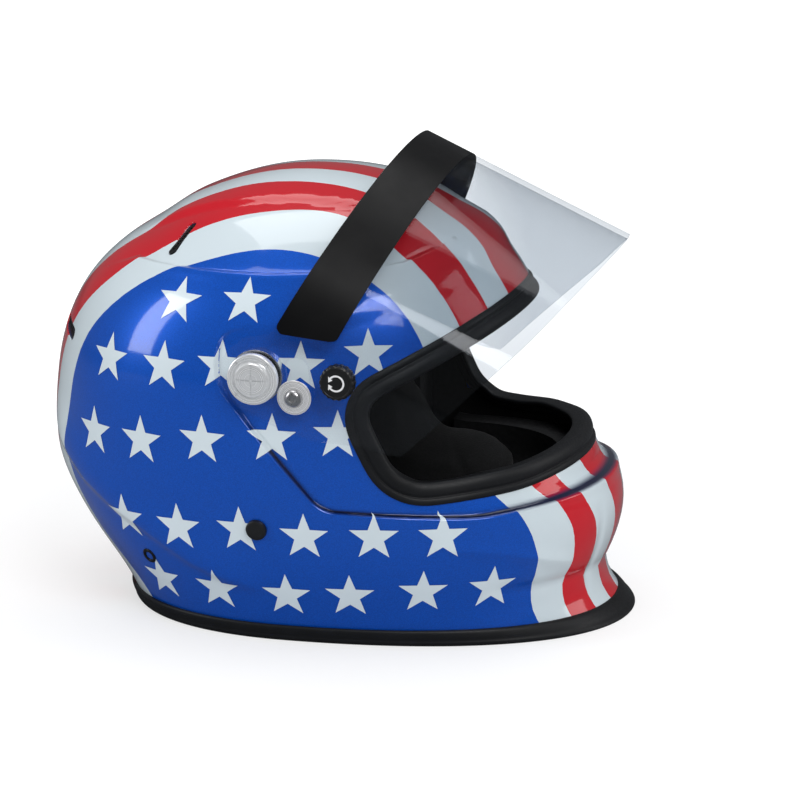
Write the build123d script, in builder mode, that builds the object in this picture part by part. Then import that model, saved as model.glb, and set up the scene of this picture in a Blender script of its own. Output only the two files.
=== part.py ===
from build123d import *
import math
import os

os.makedirs("parts", exist_ok=True)

# Full-face auto racing helmet. The wearer faces +X, +Y is the wearer's left and +Z is up.
# The origin lies on the table under the middle of the helmet.

# Driving dimensions, in millimetres and degrees
overrun = 40.0
fit_gap = 0.3

shell_height = 245.0
shell_rear = 168.0
shell_front = 161.0
shell_half_width = 125.0
shell_wall = 3.0
crown_setback = 14.0
fullness_share = 0.6125

recess_depth = 3.0
recess_top_step = 0.8
recess_front_depth = 8.0

liner_thickness = 32.0
chin_liner_thickness = 16.0
comfort_thickness = 8.0
liner_base = 36.0
roll_base = 15.0
roll_thickness = 24.0
roll_front = 38.0

trim_height = 9.0
trim_thickness = 2.5
trim_floor = 2.0

gasket_width = 12.0
gasket_lip = 2.5
gasket_proud = 1.5
gasket_depth = 9.0

pivot_back = 19.2
pivot_height = 154.4
visor_open_angle = -24.6
visor_travel = 36.0
visor_thickness = 3.0
visor_half_width = 128.4
visor_depth = 126.5
visor_corner_radius = 85.0
visor_arm_rise = 20.0
shade_thickness = 0.4
arm_radius = 20.3

running_gap = 0.05
pivot_spigot_radius = 8.0
pivot_flange_radius = 14.5
pivot_tail_radius = 4.0
nut_floor = 113.0
nut_radius = 8.5
nut_thickness = 2.4
nut_pocket_gap = 1.5
nut_pocket_floor = 111.0
cavity_clear = 90.0
pivot_washer_radius = 12.5
pivot_washer_thickness = 0.8
knob_radius = 14.0
knob_rim_thickness = 4.6
knob_disc_radius = 9.5
knob_disc_rise = 1.8
knob_notch_width = 2.2
knob_dimple_radius = 1.1
knob_edge = 0.9
knob_disc_taper = 12.0
knob_notch_share = 0.7
knob_thread_radius = 3.0
knob_thread_length = 8.0

detent_reach = 24.2
detent_turn = -23.0
detent_radius = 6.2
detent_slack = 1.0
detent_slot_gap = 0.15
detent_washer_radius = 9.5
detent_washer_cone_radius = 5.4
detent_washer_thickness = 2.2
detent_head_radius = 4.6
detent_head_height = 2.6
detent_socket_radius = 1.7
detent_round_share = 0.55
detent_tail_radius = 3.0
detent_nut_radius = 6.0
detent_screw_radius = 2.0
detent_screw_length = 8.0

lock_along = 42.2
lock_up = 20.6
lock_radius = 9.6
lock_height = 7.0
lock_grip_depth = 0.7
lock_grips = 18
lock_shaft_radius = 3.0
lock_cam_length = 13.0
lock_cam_width = 8.0
lock_cam_thickness = 1.4
lock_cam_gap = 0.4
lock_edge = 0.8

rivet_back = 20.5
rivet_height = 67.6
rivet_shaft_radius = 3.0
rivet_head_radius = 5.2
rivet_head_height = 1.4
rivet_cap_radius = 5.9
rivet_cap_height = 2.6
rivet_cap_wall = 0.5
rivet_cap_gap = 0.1
rivet_grip = 8.4
rivet_tail_height = 1.2

tether_back = 89.3
tether_level = 40.7
tether_thread_radius = 2.5
tether_barrel_radius = 3.7
tether_flange_radius = 5.2
tether_flange_height = 1.0
tether_length = 11.0
tether_thread_length = 10.0

crown_vent_back = 77.5
crown_vent_level = 217.0
crown_vent_length = 24.0
crown_vent_width = 4.4
rear_vent_back = 149.0
rear_vent_level = 159.0
rear_vent_length = 34.0
rear_vent_width = 6.4
mesh_thickness = 0.8
mesh_sink = 1.9
mesh_hole = 1.3
mesh_pitch = 2.1
vent_reach = 16.0

strap_width = 25.0
strap_thickness = 1.8
strap_level = 8.0
strap_tail_top = 62.0
strap_loop_at = 52.0
strap_bend = 6.0
strap_top = 80.0
strap_top_side = 115.4
strap_rivet_side = 114.6
strap_mid_side = 107.5
strap_low = 18.0
strap_low_side = 94.0
strap_turn_side = 84.0
strap_pocket_floor = 105.0
ring_wire_radius = 2.0
ring_wire_gap = 0.4
ring_length = 24.0
ring_width = 36.0
ring_corner = 8.0
snap_radius = 5.5
snap_height = 2.4
snap_inset = 9.0

cheek_outer = 92.0
cheek_middle = 74.0
cheek_inner = 62.5
cheek_crown = 5.0
cheek_corner_radius = 11.0
face_edge = 22.0

# Stations of the outer shell from the base to the crown. Each row holds shares of the shell's
# height, rear reach, front reach and half width, and the share of the rear reach at which the
# section is widest.
shell_shares = [
    (0.000, 0.708, 1.020, 0.820, 0.071),
    (0.073, 0.762, 0.935, 0.860, 0.071),
    (0.163, 0.854, 0.955, 0.920, 0.071),
    (0.269, 0.949, 0.980, 0.968, 0.077),
    (0.351, 0.994, 0.935, 0.990, 0.083),
    (0.424, 1.000, 0.865, 0.998, 0.089),
    (0.551, 0.988, 0.805, 0.998, 0.101),
    (0.673, 0.940, 0.712, 0.968, 0.119),
    (0.776, 0.848, 0.616, 0.892, 0.119),
    (0.873, 0.673, 0.490, 0.732, 0.113),
    (0.955, 0.429, 0.273, 0.488, 0.098),
    (0.989, 0.259, 0.096, 0.248, 0.086),
]

# At the same heights, how much of the visor recess's side depth and front depth there is
recess_shares = [
    (0.0, 0.0), (0.0, 0.0), (0.0, 0.0), (0.1, 0.1), (0.9, 1.0), (1.0, 0.3), (1.0, 0.3),
    (0.8, 0.3), (0.1, 0.1), (0.0, 0.0), (0.0, 0.0), (0.0, 0.0),
]

# Side view outlines as shares of the shell's front reach and height
eyeport_shares = [
    (0.733, 0.359), (0.311, 0.335), (0.165, 0.535), (0.205, 0.612), (1.248, 0.973), (1.248, 0.439),
]
recess_outline_shares = [
    (-0.273, 0.718), (-0.273, 0.606), (0.096, 0.324), (0.609, 0.308), (1.248, 0.351),
    (1.248, 0.980),
]
recess_round_shares = (0.06, 0.1, 0.09, 0.4, 0.0, 0.0)
face_shares = [(1.248, -0.1), (0.137, -0.1), (0.137, 0.551), (0.174, 0.6245), (1.248, 1.0)]
brow_shares = [
    (-1.3, -0.2), (-1.3, 0.376), (0.05, 0.514), (0.149, 0.637), (1.248, 1.02), (1.248, -0.2),
]
chin_shares = [
    (0.248, 0.061), (1.248, 0.061), (1.248, 0.424), (0.733, 0.345), (0.298, 0.320), (0.248, 0.322),
]
cheek_shares = [
    (-0.261, 0.106), (0.435, 0.09), (0.534, 0.245), (0.435, 0.306), (0.217, 0.322),
    (0.1, 0.477), (-0.217, 0.471),
]

# Side view outlines of the visor and its strip as shares of the visor's depth, from the pivot
visor_shares = [
    (0.0, -0.164), (0.298, -0.150), (0.516, -0.062), (0.705, -0.022), (0.968, 0.650),
    (1.109, 1.089), (0.060, 1.089), (-0.012, 0.214), (-0.163, 0.0),
]
visor_round_shares = (0.0, 0.3, 0.2, 0.04, 0.6, 0.0, 0.0, 0.12, 0.0)
strip_shares = [(-0.010, 0.214), (0.062, 1.089), (0.287, 1.089), (0.25, 0.300)]
strip_round_share = 0.03


def ring(height, rear, front, half_width, widest):
    """One level section: four quarter curves that meet at the front, the rear and the sides."""
    corners = [(front, 0), (-widest, half_width), (-rear, 0), (-widest, -half_width)]
    with BuildSketch(Plane.XY.offset(height)) as section:
        with BuildLine():
            for index, start in enumerate(corners):
                end = corners[(index + 1) % len(corners)]
                outer = (start[0], end[1]) if index % 2 == 0 else (end[0], start[1])
                Bezier(start, blend(start, outer), blend(end, outer), end)
        make_face()
    return section.sketch


def blend(start, end):
    """The point at the fullness share of the way from one point to another."""
    return tuple(a + fullness_share * (b - a) for a, b in zip(start, end))


def head_form(inset, seat=False):
    """The closed body inside the shell's outer skin, or inside the floor of the visor recess."""
    height_scale = (shell_height - inset) / shell_height
    sections = []
    for shares, recess in zip(shell_shares, recess_shares):
        level, rear_share, front_share, width_share, widest_share = shares
        side_share, depth_share = recess
        side_inset = inset
        front_inset = inset
        if seat:
            side_inset += recess_top_step + side_share * (recess_depth - recess_top_step)
            front_inset += recess_top_step + depth_share * (recess_front_depth - recess_top_step)
        size = (
            rear_share * shell_rear - inset,
            front_share * shell_front - front_inset,
            width_share * shell_half_width - side_inset,
            widest_share * shell_rear,
        )
        height = level * shell_height * height_scale
        if not sections:
            sections.append(ring(height - overrun, *size))
        sections.append(ring(height, *size))
    crown = shell_height - inset - (recess_top_step if seat else 0)
    with BuildPart() as body:
        loft(sections=sections + [Vertex(-crown_setback, 0, crown)])
    return body.part


def scaled(shares, width, height):
    """Turns shares of a width and a height into points."""
    return [(across * width, up * height) for across, up in shares]


def side_cutter(corners, radii, grow=0.0):
    """A side view outline with rounded corners, pushed through the whole width."""
    with BuildPart() as cutter:
        with BuildSketch(Plane.XZ) as outline:
            with BuildLine():
                FilletPolyline(*corners, radius=radii, close=True)
            make_face()
            if grow:
                offset(amount=grow, kind=Kind.ARC)
        extrude(amount=half_span, both=True)
    return cutter.part


def skin_plane(form, x, z, side, along=(1, 0, 0)):
    """The plane on a form's skin, straight out to one side, with its normal pointing out."""
    hits = form.find_intersection_points(Axis((x, 0, z), (0, side, 0)))
    point, normal = max(hits, key=lambda hit: hit[0].Y * side)
    return Plane(origin=point, x_dir=along, z_dir=normal)


def save(piece, label):
    """Names a finished piece and writes it."""
    piece.part.label = label
    export_step(piece.part, f"parts/{label}.step")


# Bodies that the pieces are cut from and cut to
half_span = shell_half_width + overrun
outer_form = head_form(0)
seat_form = head_form(0, seat=True)
cavity_form = head_form(shell_wall, seat=True)
liner_back_form = head_form(shell_wall + fit_gap, seat=True)
liner_face_form = head_form(shell_wall + liner_thickness, seat=True)
comfort_back_form = head_form(shell_wall + liner_thickness + fit_gap, seat=True)
comfort_face_form = head_form(shell_wall + liner_thickness + comfort_thickness, seat=True)
chin_face_form = head_form(shell_wall + chin_liner_thickness, seat=True)
cheek_back_form = head_form(shell_wall + chin_liner_thickness + fit_gap, seat=True)
roll_face_form = head_form(shell_wall + roll_thickness, seat=True)

# Side view outlines of the openings and of the soft parts
round_shares = (0.37, 0.139, 0.106, 0.04, 0.0, 0.0)
eyeport_corners = scaled(eyeport_shares, shell_front, shell_height)
eyeport_radii = [share * shell_height for share in round_shares]
recess_corners = scaled(recess_outline_shares, shell_front, shell_height)
recess_radii = [share * shell_height for share in recess_round_shares]
eyeport_cutter = side_cutter(eyeport_corners, eyeport_radii, -gasket_lip)
gasket_outer_cutter = side_cutter(eyeport_corners, eyeport_radii)
gasket_inner_cutter = side_cutter(eyeport_corners, eyeport_radii, -gasket_width)
face_cutter = side_cutter(scaled(face_shares, shell_front, shell_height), 0)
brow_cutter = side_cutter(scaled(brow_shares, shell_front, shell_height), 0)
chin_block = side_cutter(scaled(chin_shares, shell_front, shell_height), 0)

# Planes of the fittings on each side
sides = {"right": -1, "left": 1}
pivot_planes = {}
detent_planes = {}
rivet_planes = {}
tether_planes = {}
crown_vent_planes = {}
rear_vent_planes = {}
detent_x = -pivot_back + detent_reach * math.cos(math.radians(detent_turn))
detent_z = pivot_height + detent_reach * math.sin(math.radians(detent_turn))
for name, side in sides.items():
    outward = (0, side, 0)
    pivot_planes[name] = Plane(origin=(-pivot_back, 0, pivot_height), x_dir=(1, 0, 0), z_dir=outward)
    detent_planes[name] = Plane(origin=(detent_x, 0, detent_z), x_dir=(1, 0, 0), z_dir=outward)
    rivet_planes[name] = skin_plane(outer_form, -rivet_back, rivet_height, side)
    tether_planes[name] = skin_plane(outer_form, -tether_back, tether_level, side)
    crown_vent_planes[name] = skin_plane(
        outer_form, -crown_vent_back, crown_vent_level, side, (0.39, -0.76 * side, 0.52)
    )
    rear_vent_planes[name] = skin_plane(
        outer_form, -rear_vent_back, rear_vent_level, side, (0.49, 0.86 * side, -0.16)
    )
vent_sets = {
    "crown_vent_mesh": (crown_vent_planes, crown_vent_length, crown_vent_width),
    "rear_vent_mesh": (rear_vent_planes, rear_vent_length, rear_vent_width),
}

# Shell: one moulded skin with the eyeport, the stepped recess that the visor closes into, the
# vent slots and the holes for its fittings
with BuildPart() as recess_tool:
    add(side_cutter(recess_corners, recess_radii))
    add(seat_form, mode=Mode.SUBTRACT)
with BuildPart() as shell:
    add(outer_form)
    add(cavity_form, mode=Mode.SUBTRACT)
    add(recess_tool.part, mode=Mode.SUBTRACT)
    add(eyeport_cutter, mode=Mode.SUBTRACT)
    split(bisect_by=Plane.XY.offset(trim_floor), keep=Keep.TOP)
    for name in sides:
        for plane, radius in (
            (pivot_planes[name], pivot_tail_radius),
            (detent_planes[name], detent_tail_radius),
        ):
            with BuildSketch(plane.offset(cavity_clear)):
                Circle(radius)
            extrude(amount=overrun, mode=Mode.SUBTRACT)
        for plane, radius in (
            (rivet_planes[name], rivet_shaft_radius),
            (tether_planes[name], tether_barrel_radius),
        ):
            with BuildSketch(plane):
                Circle(radius)
            extrude(amount=vent_reach, both=True, mode=Mode.SUBTRACT)
        for planes, length, width in vent_sets.values():
            with BuildSketch(planes[name]):
                SlotOverall(length, width)
            extrude(amount=vent_reach, both=True, mode=Mode.SUBTRACT)
save(shell, "shell")

# Eyeport gasket: moulded rubber that grips the edge of the opening and stands proud of it
with BuildPart() as shell_edge:
    add(side_cutter(eyeport_corners, eyeport_radii, gasket_width))
    add(eyeport_cutter, mode=Mode.SUBTRACT)
    add(seat_form, mode=Mode.INTERSECT)
    add(cavity_form, mode=Mode.SUBTRACT)
with BuildPart() as eyeport_gasket:
    add(gasket_outer_cutter)
    add(gasket_inner_cutter, mode=Mode.SUBTRACT)
    add(head_form(-gasket_proud, seat=True), mode=Mode.INTERSECT)
    add(head_form(gasket_depth, seat=True), mode=Mode.SUBTRACT)
    add(shell_edge.part, mode=Mode.SUBTRACT)
save(eyeport_gasket, "eyeport_gasket")

# Base trim: a rubber channel round the lower edge, flat below so that the helmet stands on it
with BuildPart() as wall_edge:
    add(outer_form)
    add(cavity_form, mode=Mode.SUBTRACT)
    split(bisect_by=Plane.XY.offset(trim_floor), keep=Keep.TOP)
    split(bisect_by=Plane.XY.offset(trim_height + trim_floor), keep=Keep.BOTTOM)
with BuildPart() as base_trim:
    add(head_form(-trim_thickness))
    add(head_form(shell_wall + trim_thickness, seat=True), mode=Mode.SUBTRACT)
    split(bisect_by=Plane.XY, keep=Keep.TOP)
    split(bisect_by=Plane.XY.offset(trim_height), keep=Keep.BOTTOM)
    add(wall_edge.part, mode=Mode.SUBTRACT)
save(base_trim, "base_trim")

# Impact liner: foam against the inside of the shell, open at the face, with pockets for the
# nuts, the strap anchors and the tether inserts
with BuildPart() as eps_liner:
    add(liner_back_form)
    split(bisect_by=Plane.XY.offset(liner_base), keep=Keep.TOP)
    add(face_cutter, mode=Mode.SUBTRACT)
    add(liner_face_form, mode=Mode.SUBTRACT)
    for name in sides:
        for plane, radius in (
            (pivot_planes[name], nut_radius + nut_pocket_gap),
            (detent_planes[name], detent_nut_radius + nut_pocket_gap),
        ):
            with BuildSketch(plane.offset(nut_pocket_floor)):
                Circle(radius)
            extrude(amount=overrun, mode=Mode.SUBTRACT)
        with BuildSketch(Plane.XY.offset(liner_base)):
            with Locations((-rivet_back, sides[name] * (strap_pocket_floor + overrun / 2))):
                Rectangle(strap_width + nut_pocket_gap * 2, overrun)
        extrude(amount=strap_top + nut_pocket_gap - liner_base, mode=Mode.SUBTRACT)
        with BuildSketch(tether_planes[name]):
            Circle(tether_barrel_radius + nut_pocket_gap)
        extrude(amount=-(tether_length + nut_pocket_gap), mode=Mode.SUBTRACT)
save(eps_liner, "eps_liner")

# Foam inside the chin bar
with BuildPart() as chin_bar_liner:
    add(liner_back_form)
    add(chin_face_form, mode=Mode.SUBTRACT)
    add(chin_block, mode=Mode.INTERSECT)
save(chin_bar_liner, "chin_bar_liner")

# Comfort liner: the padded cap that rests on the head
with BuildPart() as comfort_liner:
    add(comfort_back_form)
    add(brow_cutter, mode=Mode.SUBTRACT)
    add(comfort_face_form, mode=Mode.SUBTRACT)
save(comfort_liner, "comfort_liner")

# Neck roll: the pad along the lower rear edge
with BuildPart() as neck_roll:
    add(liner_back_form)
    add(roll_face_form, mode=Mode.SUBTRACT)
    split(bisect_by=Plane.XY.offset(roll_base), keep=Keep.TOP)
    split(bisect_by=Plane.XY.offset(liner_base - fit_gap), keep=Keep.BOTTOM)
    split(bisect_by=Plane.YZ.offset(-roll_front), keep=Keep.BOTTOM)
save(neck_roll, "neck_roll")


# Cheek pads: crowned cushions, drawn in towards their inner faces
def cheek_outline(level, inset):
    """The pad's side view outline at one distance from the helmet's middle plane."""
    corners = scaled(cheek_shares, shell_front, shell_height)
    with BuildSketch(Plane.XZ.offset(level)) as outline:
        with BuildLine():
            FilletPolyline(*corners, radius=cheek_corner_radius, close=True)
        make_face()
        if inset:
            offset(amount=-inset, kind=Kind.ARC)
    return outline.sketch


with BuildPart() as liner_side:
    with BuildSketch(Plane.XY.offset(-overrun)):
        with Locations((face_edge + fit_gap - half_span, 0)):
            Rectangle(half_span * 2, half_span * 2)
    extrude(amount=shell_height + overrun)
    add(comfort_back_form, mode=Mode.SUBTRACT)
for name, side in sides.items():
    with BuildPart() as cheek_pad:
        loft(sections=[
            cheek_outline(-side * (cheek_inner - cheek_crown), cheek_crown * 3),
            cheek_outline(-side * (cheek_inner - cheek_crown / 4), cheek_crown * 1.6),
            cheek_outline(-side * (cheek_inner + cheek_crown), cheek_crown / 2),
            cheek_outline(-side * cheek_middle, 0),
            cheek_outline(-side * cheek_outer, cheek_crown / 4),
        ])
        add(cheek_back_form, mode=Mode.INTERSECT)
        add(liner_side.part, mode=Mode.SUBTRACT)
    save(cheek_pad, f"cheek_pad_{name}")

# Chin straps: webbing riveted inside the shell, tucked under the cheek pads
strap_drop = [(strap_top_side, strap_top), (strap_rivet_side, rivet_height)]
strap_drop += [(strap_mid_side, liner_base), (strap_low_side, strap_low), (strap_turn_side, strap_level)]
strap_inner = cheek_inner - cheek_crown - fit_gap - strap_thickness / 2
loop_radius = ring_wire_radius * 2 + ring_wire_gap / 2 + fit_gap + strap_thickness / 2
strap_ends = {
    "right": [(strap_inner, strap_level), (strap_inner, strap_tail_top)],
    "left": [(strap_loop_at + loop_radius, strap_level)],
}
for name, side in sides.items():
    points = [(side * out, up) for out, up in strap_drop + strap_ends[name]]
    radii = [0.0] + [strap_bend] * (len(points) - 3)
    with BuildPart() as chin_strap:
        with BuildSketch(Plane.YZ.offset(-rivet_back)):
            with BuildLine():
                FilletPolyline(*points, radius=radii)
            trace(line_width=strap_thickness)
            if name == "left":
                with Locations((side * strap_loop_at, strap_level)):
                    Circle(loop_radius + strap_thickness / 2)
                    Circle(loop_radius - strap_thickness / 2, mode=Mode.SUBTRACT)
        extrude(amount=strap_width / 2, both=True)
        with BuildSketch(rivet_planes[name]):
            Circle(rivet_shaft_radius)
        extrude(amount=-vent_reach, mode=Mode.SUBTRACT)
    save(chin_strap, f"chin_strap_{name}")

    # Strap anchor: a rivet through shell and strap, with a snap cap over its head
    with BuildPart() as strap_anchor:
        with BuildSketch(rivet_planes[name]):
            Circle(rivet_head_radius)
        extrude(amount=rivet_head_height)
        chamfer(strap_anchor.faces().sort_by(Axis.Y)[0 if side < 0 else -1].edges(), rivet_cap_wall)
        with BuildSketch(rivet_planes[name].offset(-rivet_grip)):
            Circle(rivet_shaft_radius)
        extrude(amount=rivet_grip)
        with BuildSketch(rivet_planes[name].offset(-rivet_grip)):
            Circle(rivet_head_radius)
        extrude(amount=-rivet_tail_height)
    save(strap_anchor, f"strap_anchor_{name}")
    with BuildPart() as strap_cap:
        with BuildSketch(rivet_planes[name]):
            Circle(rivet_cap_radius)
        extrude(amount=rivet_cap_height)
        chamfer(strap_cap.faces().sort_by(Axis.Y)[0 if side < 0 else -1].edges(), rivet_cap_wall * 2)
        with BuildSketch(rivet_planes[name]):
            Circle(rivet_head_radius + rivet_cap_gap)
        extrude(amount=rivet_head_height + rivet_cap_gap, mode=Mode.SUBTRACT)
        add(outer_form, mode=Mode.SUBTRACT)
    save(strap_cap, f"strap_cap_{name}")

    # Tether insert: a flanged threaded sleeve for the head restraint tether
    with BuildPart() as tether_insert:
        with BuildSketch(tether_planes[name].offset(-tether_length)):
            Circle(tether_barrel_radius)
        extrude(amount=tether_length)
        with BuildSketch(tether_planes[name]):
            Circle(tether_flange_radius)
        extrude(amount=tether_flange_height)
        with BuildSketch(tether_planes[name].offset(tether_flange_height)):
            Circle(tether_thread_radius)
        extrude(amount=-tether_thread_length, mode=Mode.SUBTRACT)
    save(tether_insert, f"tether_insert_{name}")

# Snap stud that parks the strap's loose end
tail_plane = Plane(
    origin=(-rivet_back, -strap_inner + strap_thickness / 2, strap_tail_top - snap_inset),
    x_dir=(1, 0, 0),
    z_dir=(0, 1, 0),
)
with BuildPart() as strap_snap:
    with BuildSketch(tail_plane):
        Circle(snap_radius)
    extrude(amount=snap_height)
    chamfer(strap_snap.faces().sort_by(Axis.Y)[-1].edges(), snap_height / 3)
    with BuildSketch(tail_plane.offset(snap_height)):
        Circle(snap_radius / 2)
    extrude(amount=-snap_height / 2, mode=Mode.SUBTRACT)
save(strap_snap, "strap_snap")

# D-rings: two bent wires whose straight sides share the loop of the left strap
ring_offset = ring_wire_radius + ring_wire_gap / 2
for name, level in (("d_ring_upper", strap_level + ring_offset), ("d_ring_lower", strap_level - ring_offset)):
    near = strap_loop_at
    far = strap_loop_at - ring_length
    half = ring_width / 2 - ring_wire_radius
    bend = ring_wire_radius * 1.5
    with BuildPart() as d_ring:
        with BuildLine(Plane.XY.offset(level)) as wire:
            FilletPolyline(
                (-rivet_back - half, near),
                (-rivet_back + half, near),
                (-rivet_back + half, far),
                (-rivet_back - half, far),
                radius=[bend, bend, ring_corner, ring_corner],
                close=True,
            )
        start = wire.line @ 0
        heading = wire.line % 0
        with BuildSketch(Plane(origin=start, z_dir=heading)):
            Circle(ring_wire_radius)
        sweep()
    save(d_ring, name)

# Visor: a flat sheet bent to one curve, with straight rulings. It is drawn in its own frame,
# where the sheet runs along the ruling and rises from the pivot axis.
tilt = math.radians(visor_open_angle)
ruling = (math.cos(tilt), 0, math.sin(tilt))
section_plane = Plane(origin=(-pivot_back, 0, pivot_height), x_dir=(0, 1, 0), z_dir=ruling)
side_plane = Plane(origin=(-pivot_back, 0, pivot_height), x_dir=ruling, z_dir=(0, -1, 0))
arm_outer = visor_half_width
arc_side = visor_half_width - visor_corner_radius
arc_rise = visor_depth - visor_arm_rise
visor_crown_radius = (arc_side**2 + arc_rise**2 - visor_corner_radius**2) / (
    2 * (arc_rise - visor_corner_radius)
)
crown_centre = visor_depth - visor_crown_radius
arm_inner = visor_half_width - visor_thickness


def visor_core(grow):
    """The space inside the sheet's outer or inner face: straight arms and three tangent arcs."""
    half_width = visor_half_width + grow
    bend = math.degrees(math.atan2(visor_arm_rise - crown_centre, arc_side))
    with BuildPart() as core:
        with BuildSketch(section_plane):
            with BuildLine():
                CenterArc((arc_side, visor_arm_rise), visor_corner_radius + grow, 0, bend)
                CenterArc((0, crown_centre), visor_crown_radius + grow, bend, 180 - 2 * bend)
                CenterArc((-arc_side, visor_arm_rise), visor_corner_radius + grow, 180 - bend, bend)
                Polyline(
                    (-half_width, visor_arm_rise), (-half_width, -overrun),
                    (half_width, -overrun), (half_width, visor_arm_rise),
                )
            make_face()
        extrude(amount=visor_depth * 2, both=True)
    return core.part


def visor_band(outset, thickness):
    """The bent sheet as a long channel along its rulings."""
    with BuildPart() as band:
        add(visor_core(outset))
        add(visor_core(outset - thickness), mode=Mode.SUBTRACT)
    return band.part


def visor_blank(shares, radii, sheet, arm_disc=0.0):
    """A sheet trimmed to a side view outline."""
    with BuildPart() as blank:
        with BuildSketch(side_plane):
            with BuildLine():
                FilletPolyline(*scaled(shares, visor_depth, visor_depth), radius=radii, close=True)
            make_face()
            if arm_disc:
                Circle(arm_disc)
        extrude(amount=half_span, both=True)
        add(sheet, mode=Mode.INTERSECT)
    return blank.part


slot_start = detent_turn - detent_slack - visor_open_angle
slot_sweep = visor_travel + detent_slack * 2
visor_radii = [share * visor_depth for share in visor_round_shares]
with BuildPart() as visor:
    add(visor_blank(visor_shares, visor_radii, visor_band(0, visor_thickness), arm_radius))
    with BuildSketch(side_plane):
        Circle(pivot_spigot_radius + running_gap)
        with BuildLine(mode=Mode.PRIVATE):
            slot_line = CenterArc((0, 0), detent_reach, slot_start, slot_sweep)
        SlotArc(slot_line, (detent_radius + detent_slot_gap) * 2)
    extrude(amount=half_span, both=True, mode=Mode.SUBTRACT)
    with BuildSketch(side_plane):
        with Locations((lock_along, lock_up)):
            Circle(lock_shaft_radius + running_gap)
    extrude(amount=half_span, mode=Mode.SUBTRACT)
save(visor, "visor")

# Shade strip: a dark film across the top of the visor
with BuildPart() as shade_strip:
    add(visor_blank(strip_shares, strip_round_share * visor_depth,
                    visor_band(fit_gap + shade_thickness, shade_thickness)))
save(shade_strip, "shade_strip")

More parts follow.
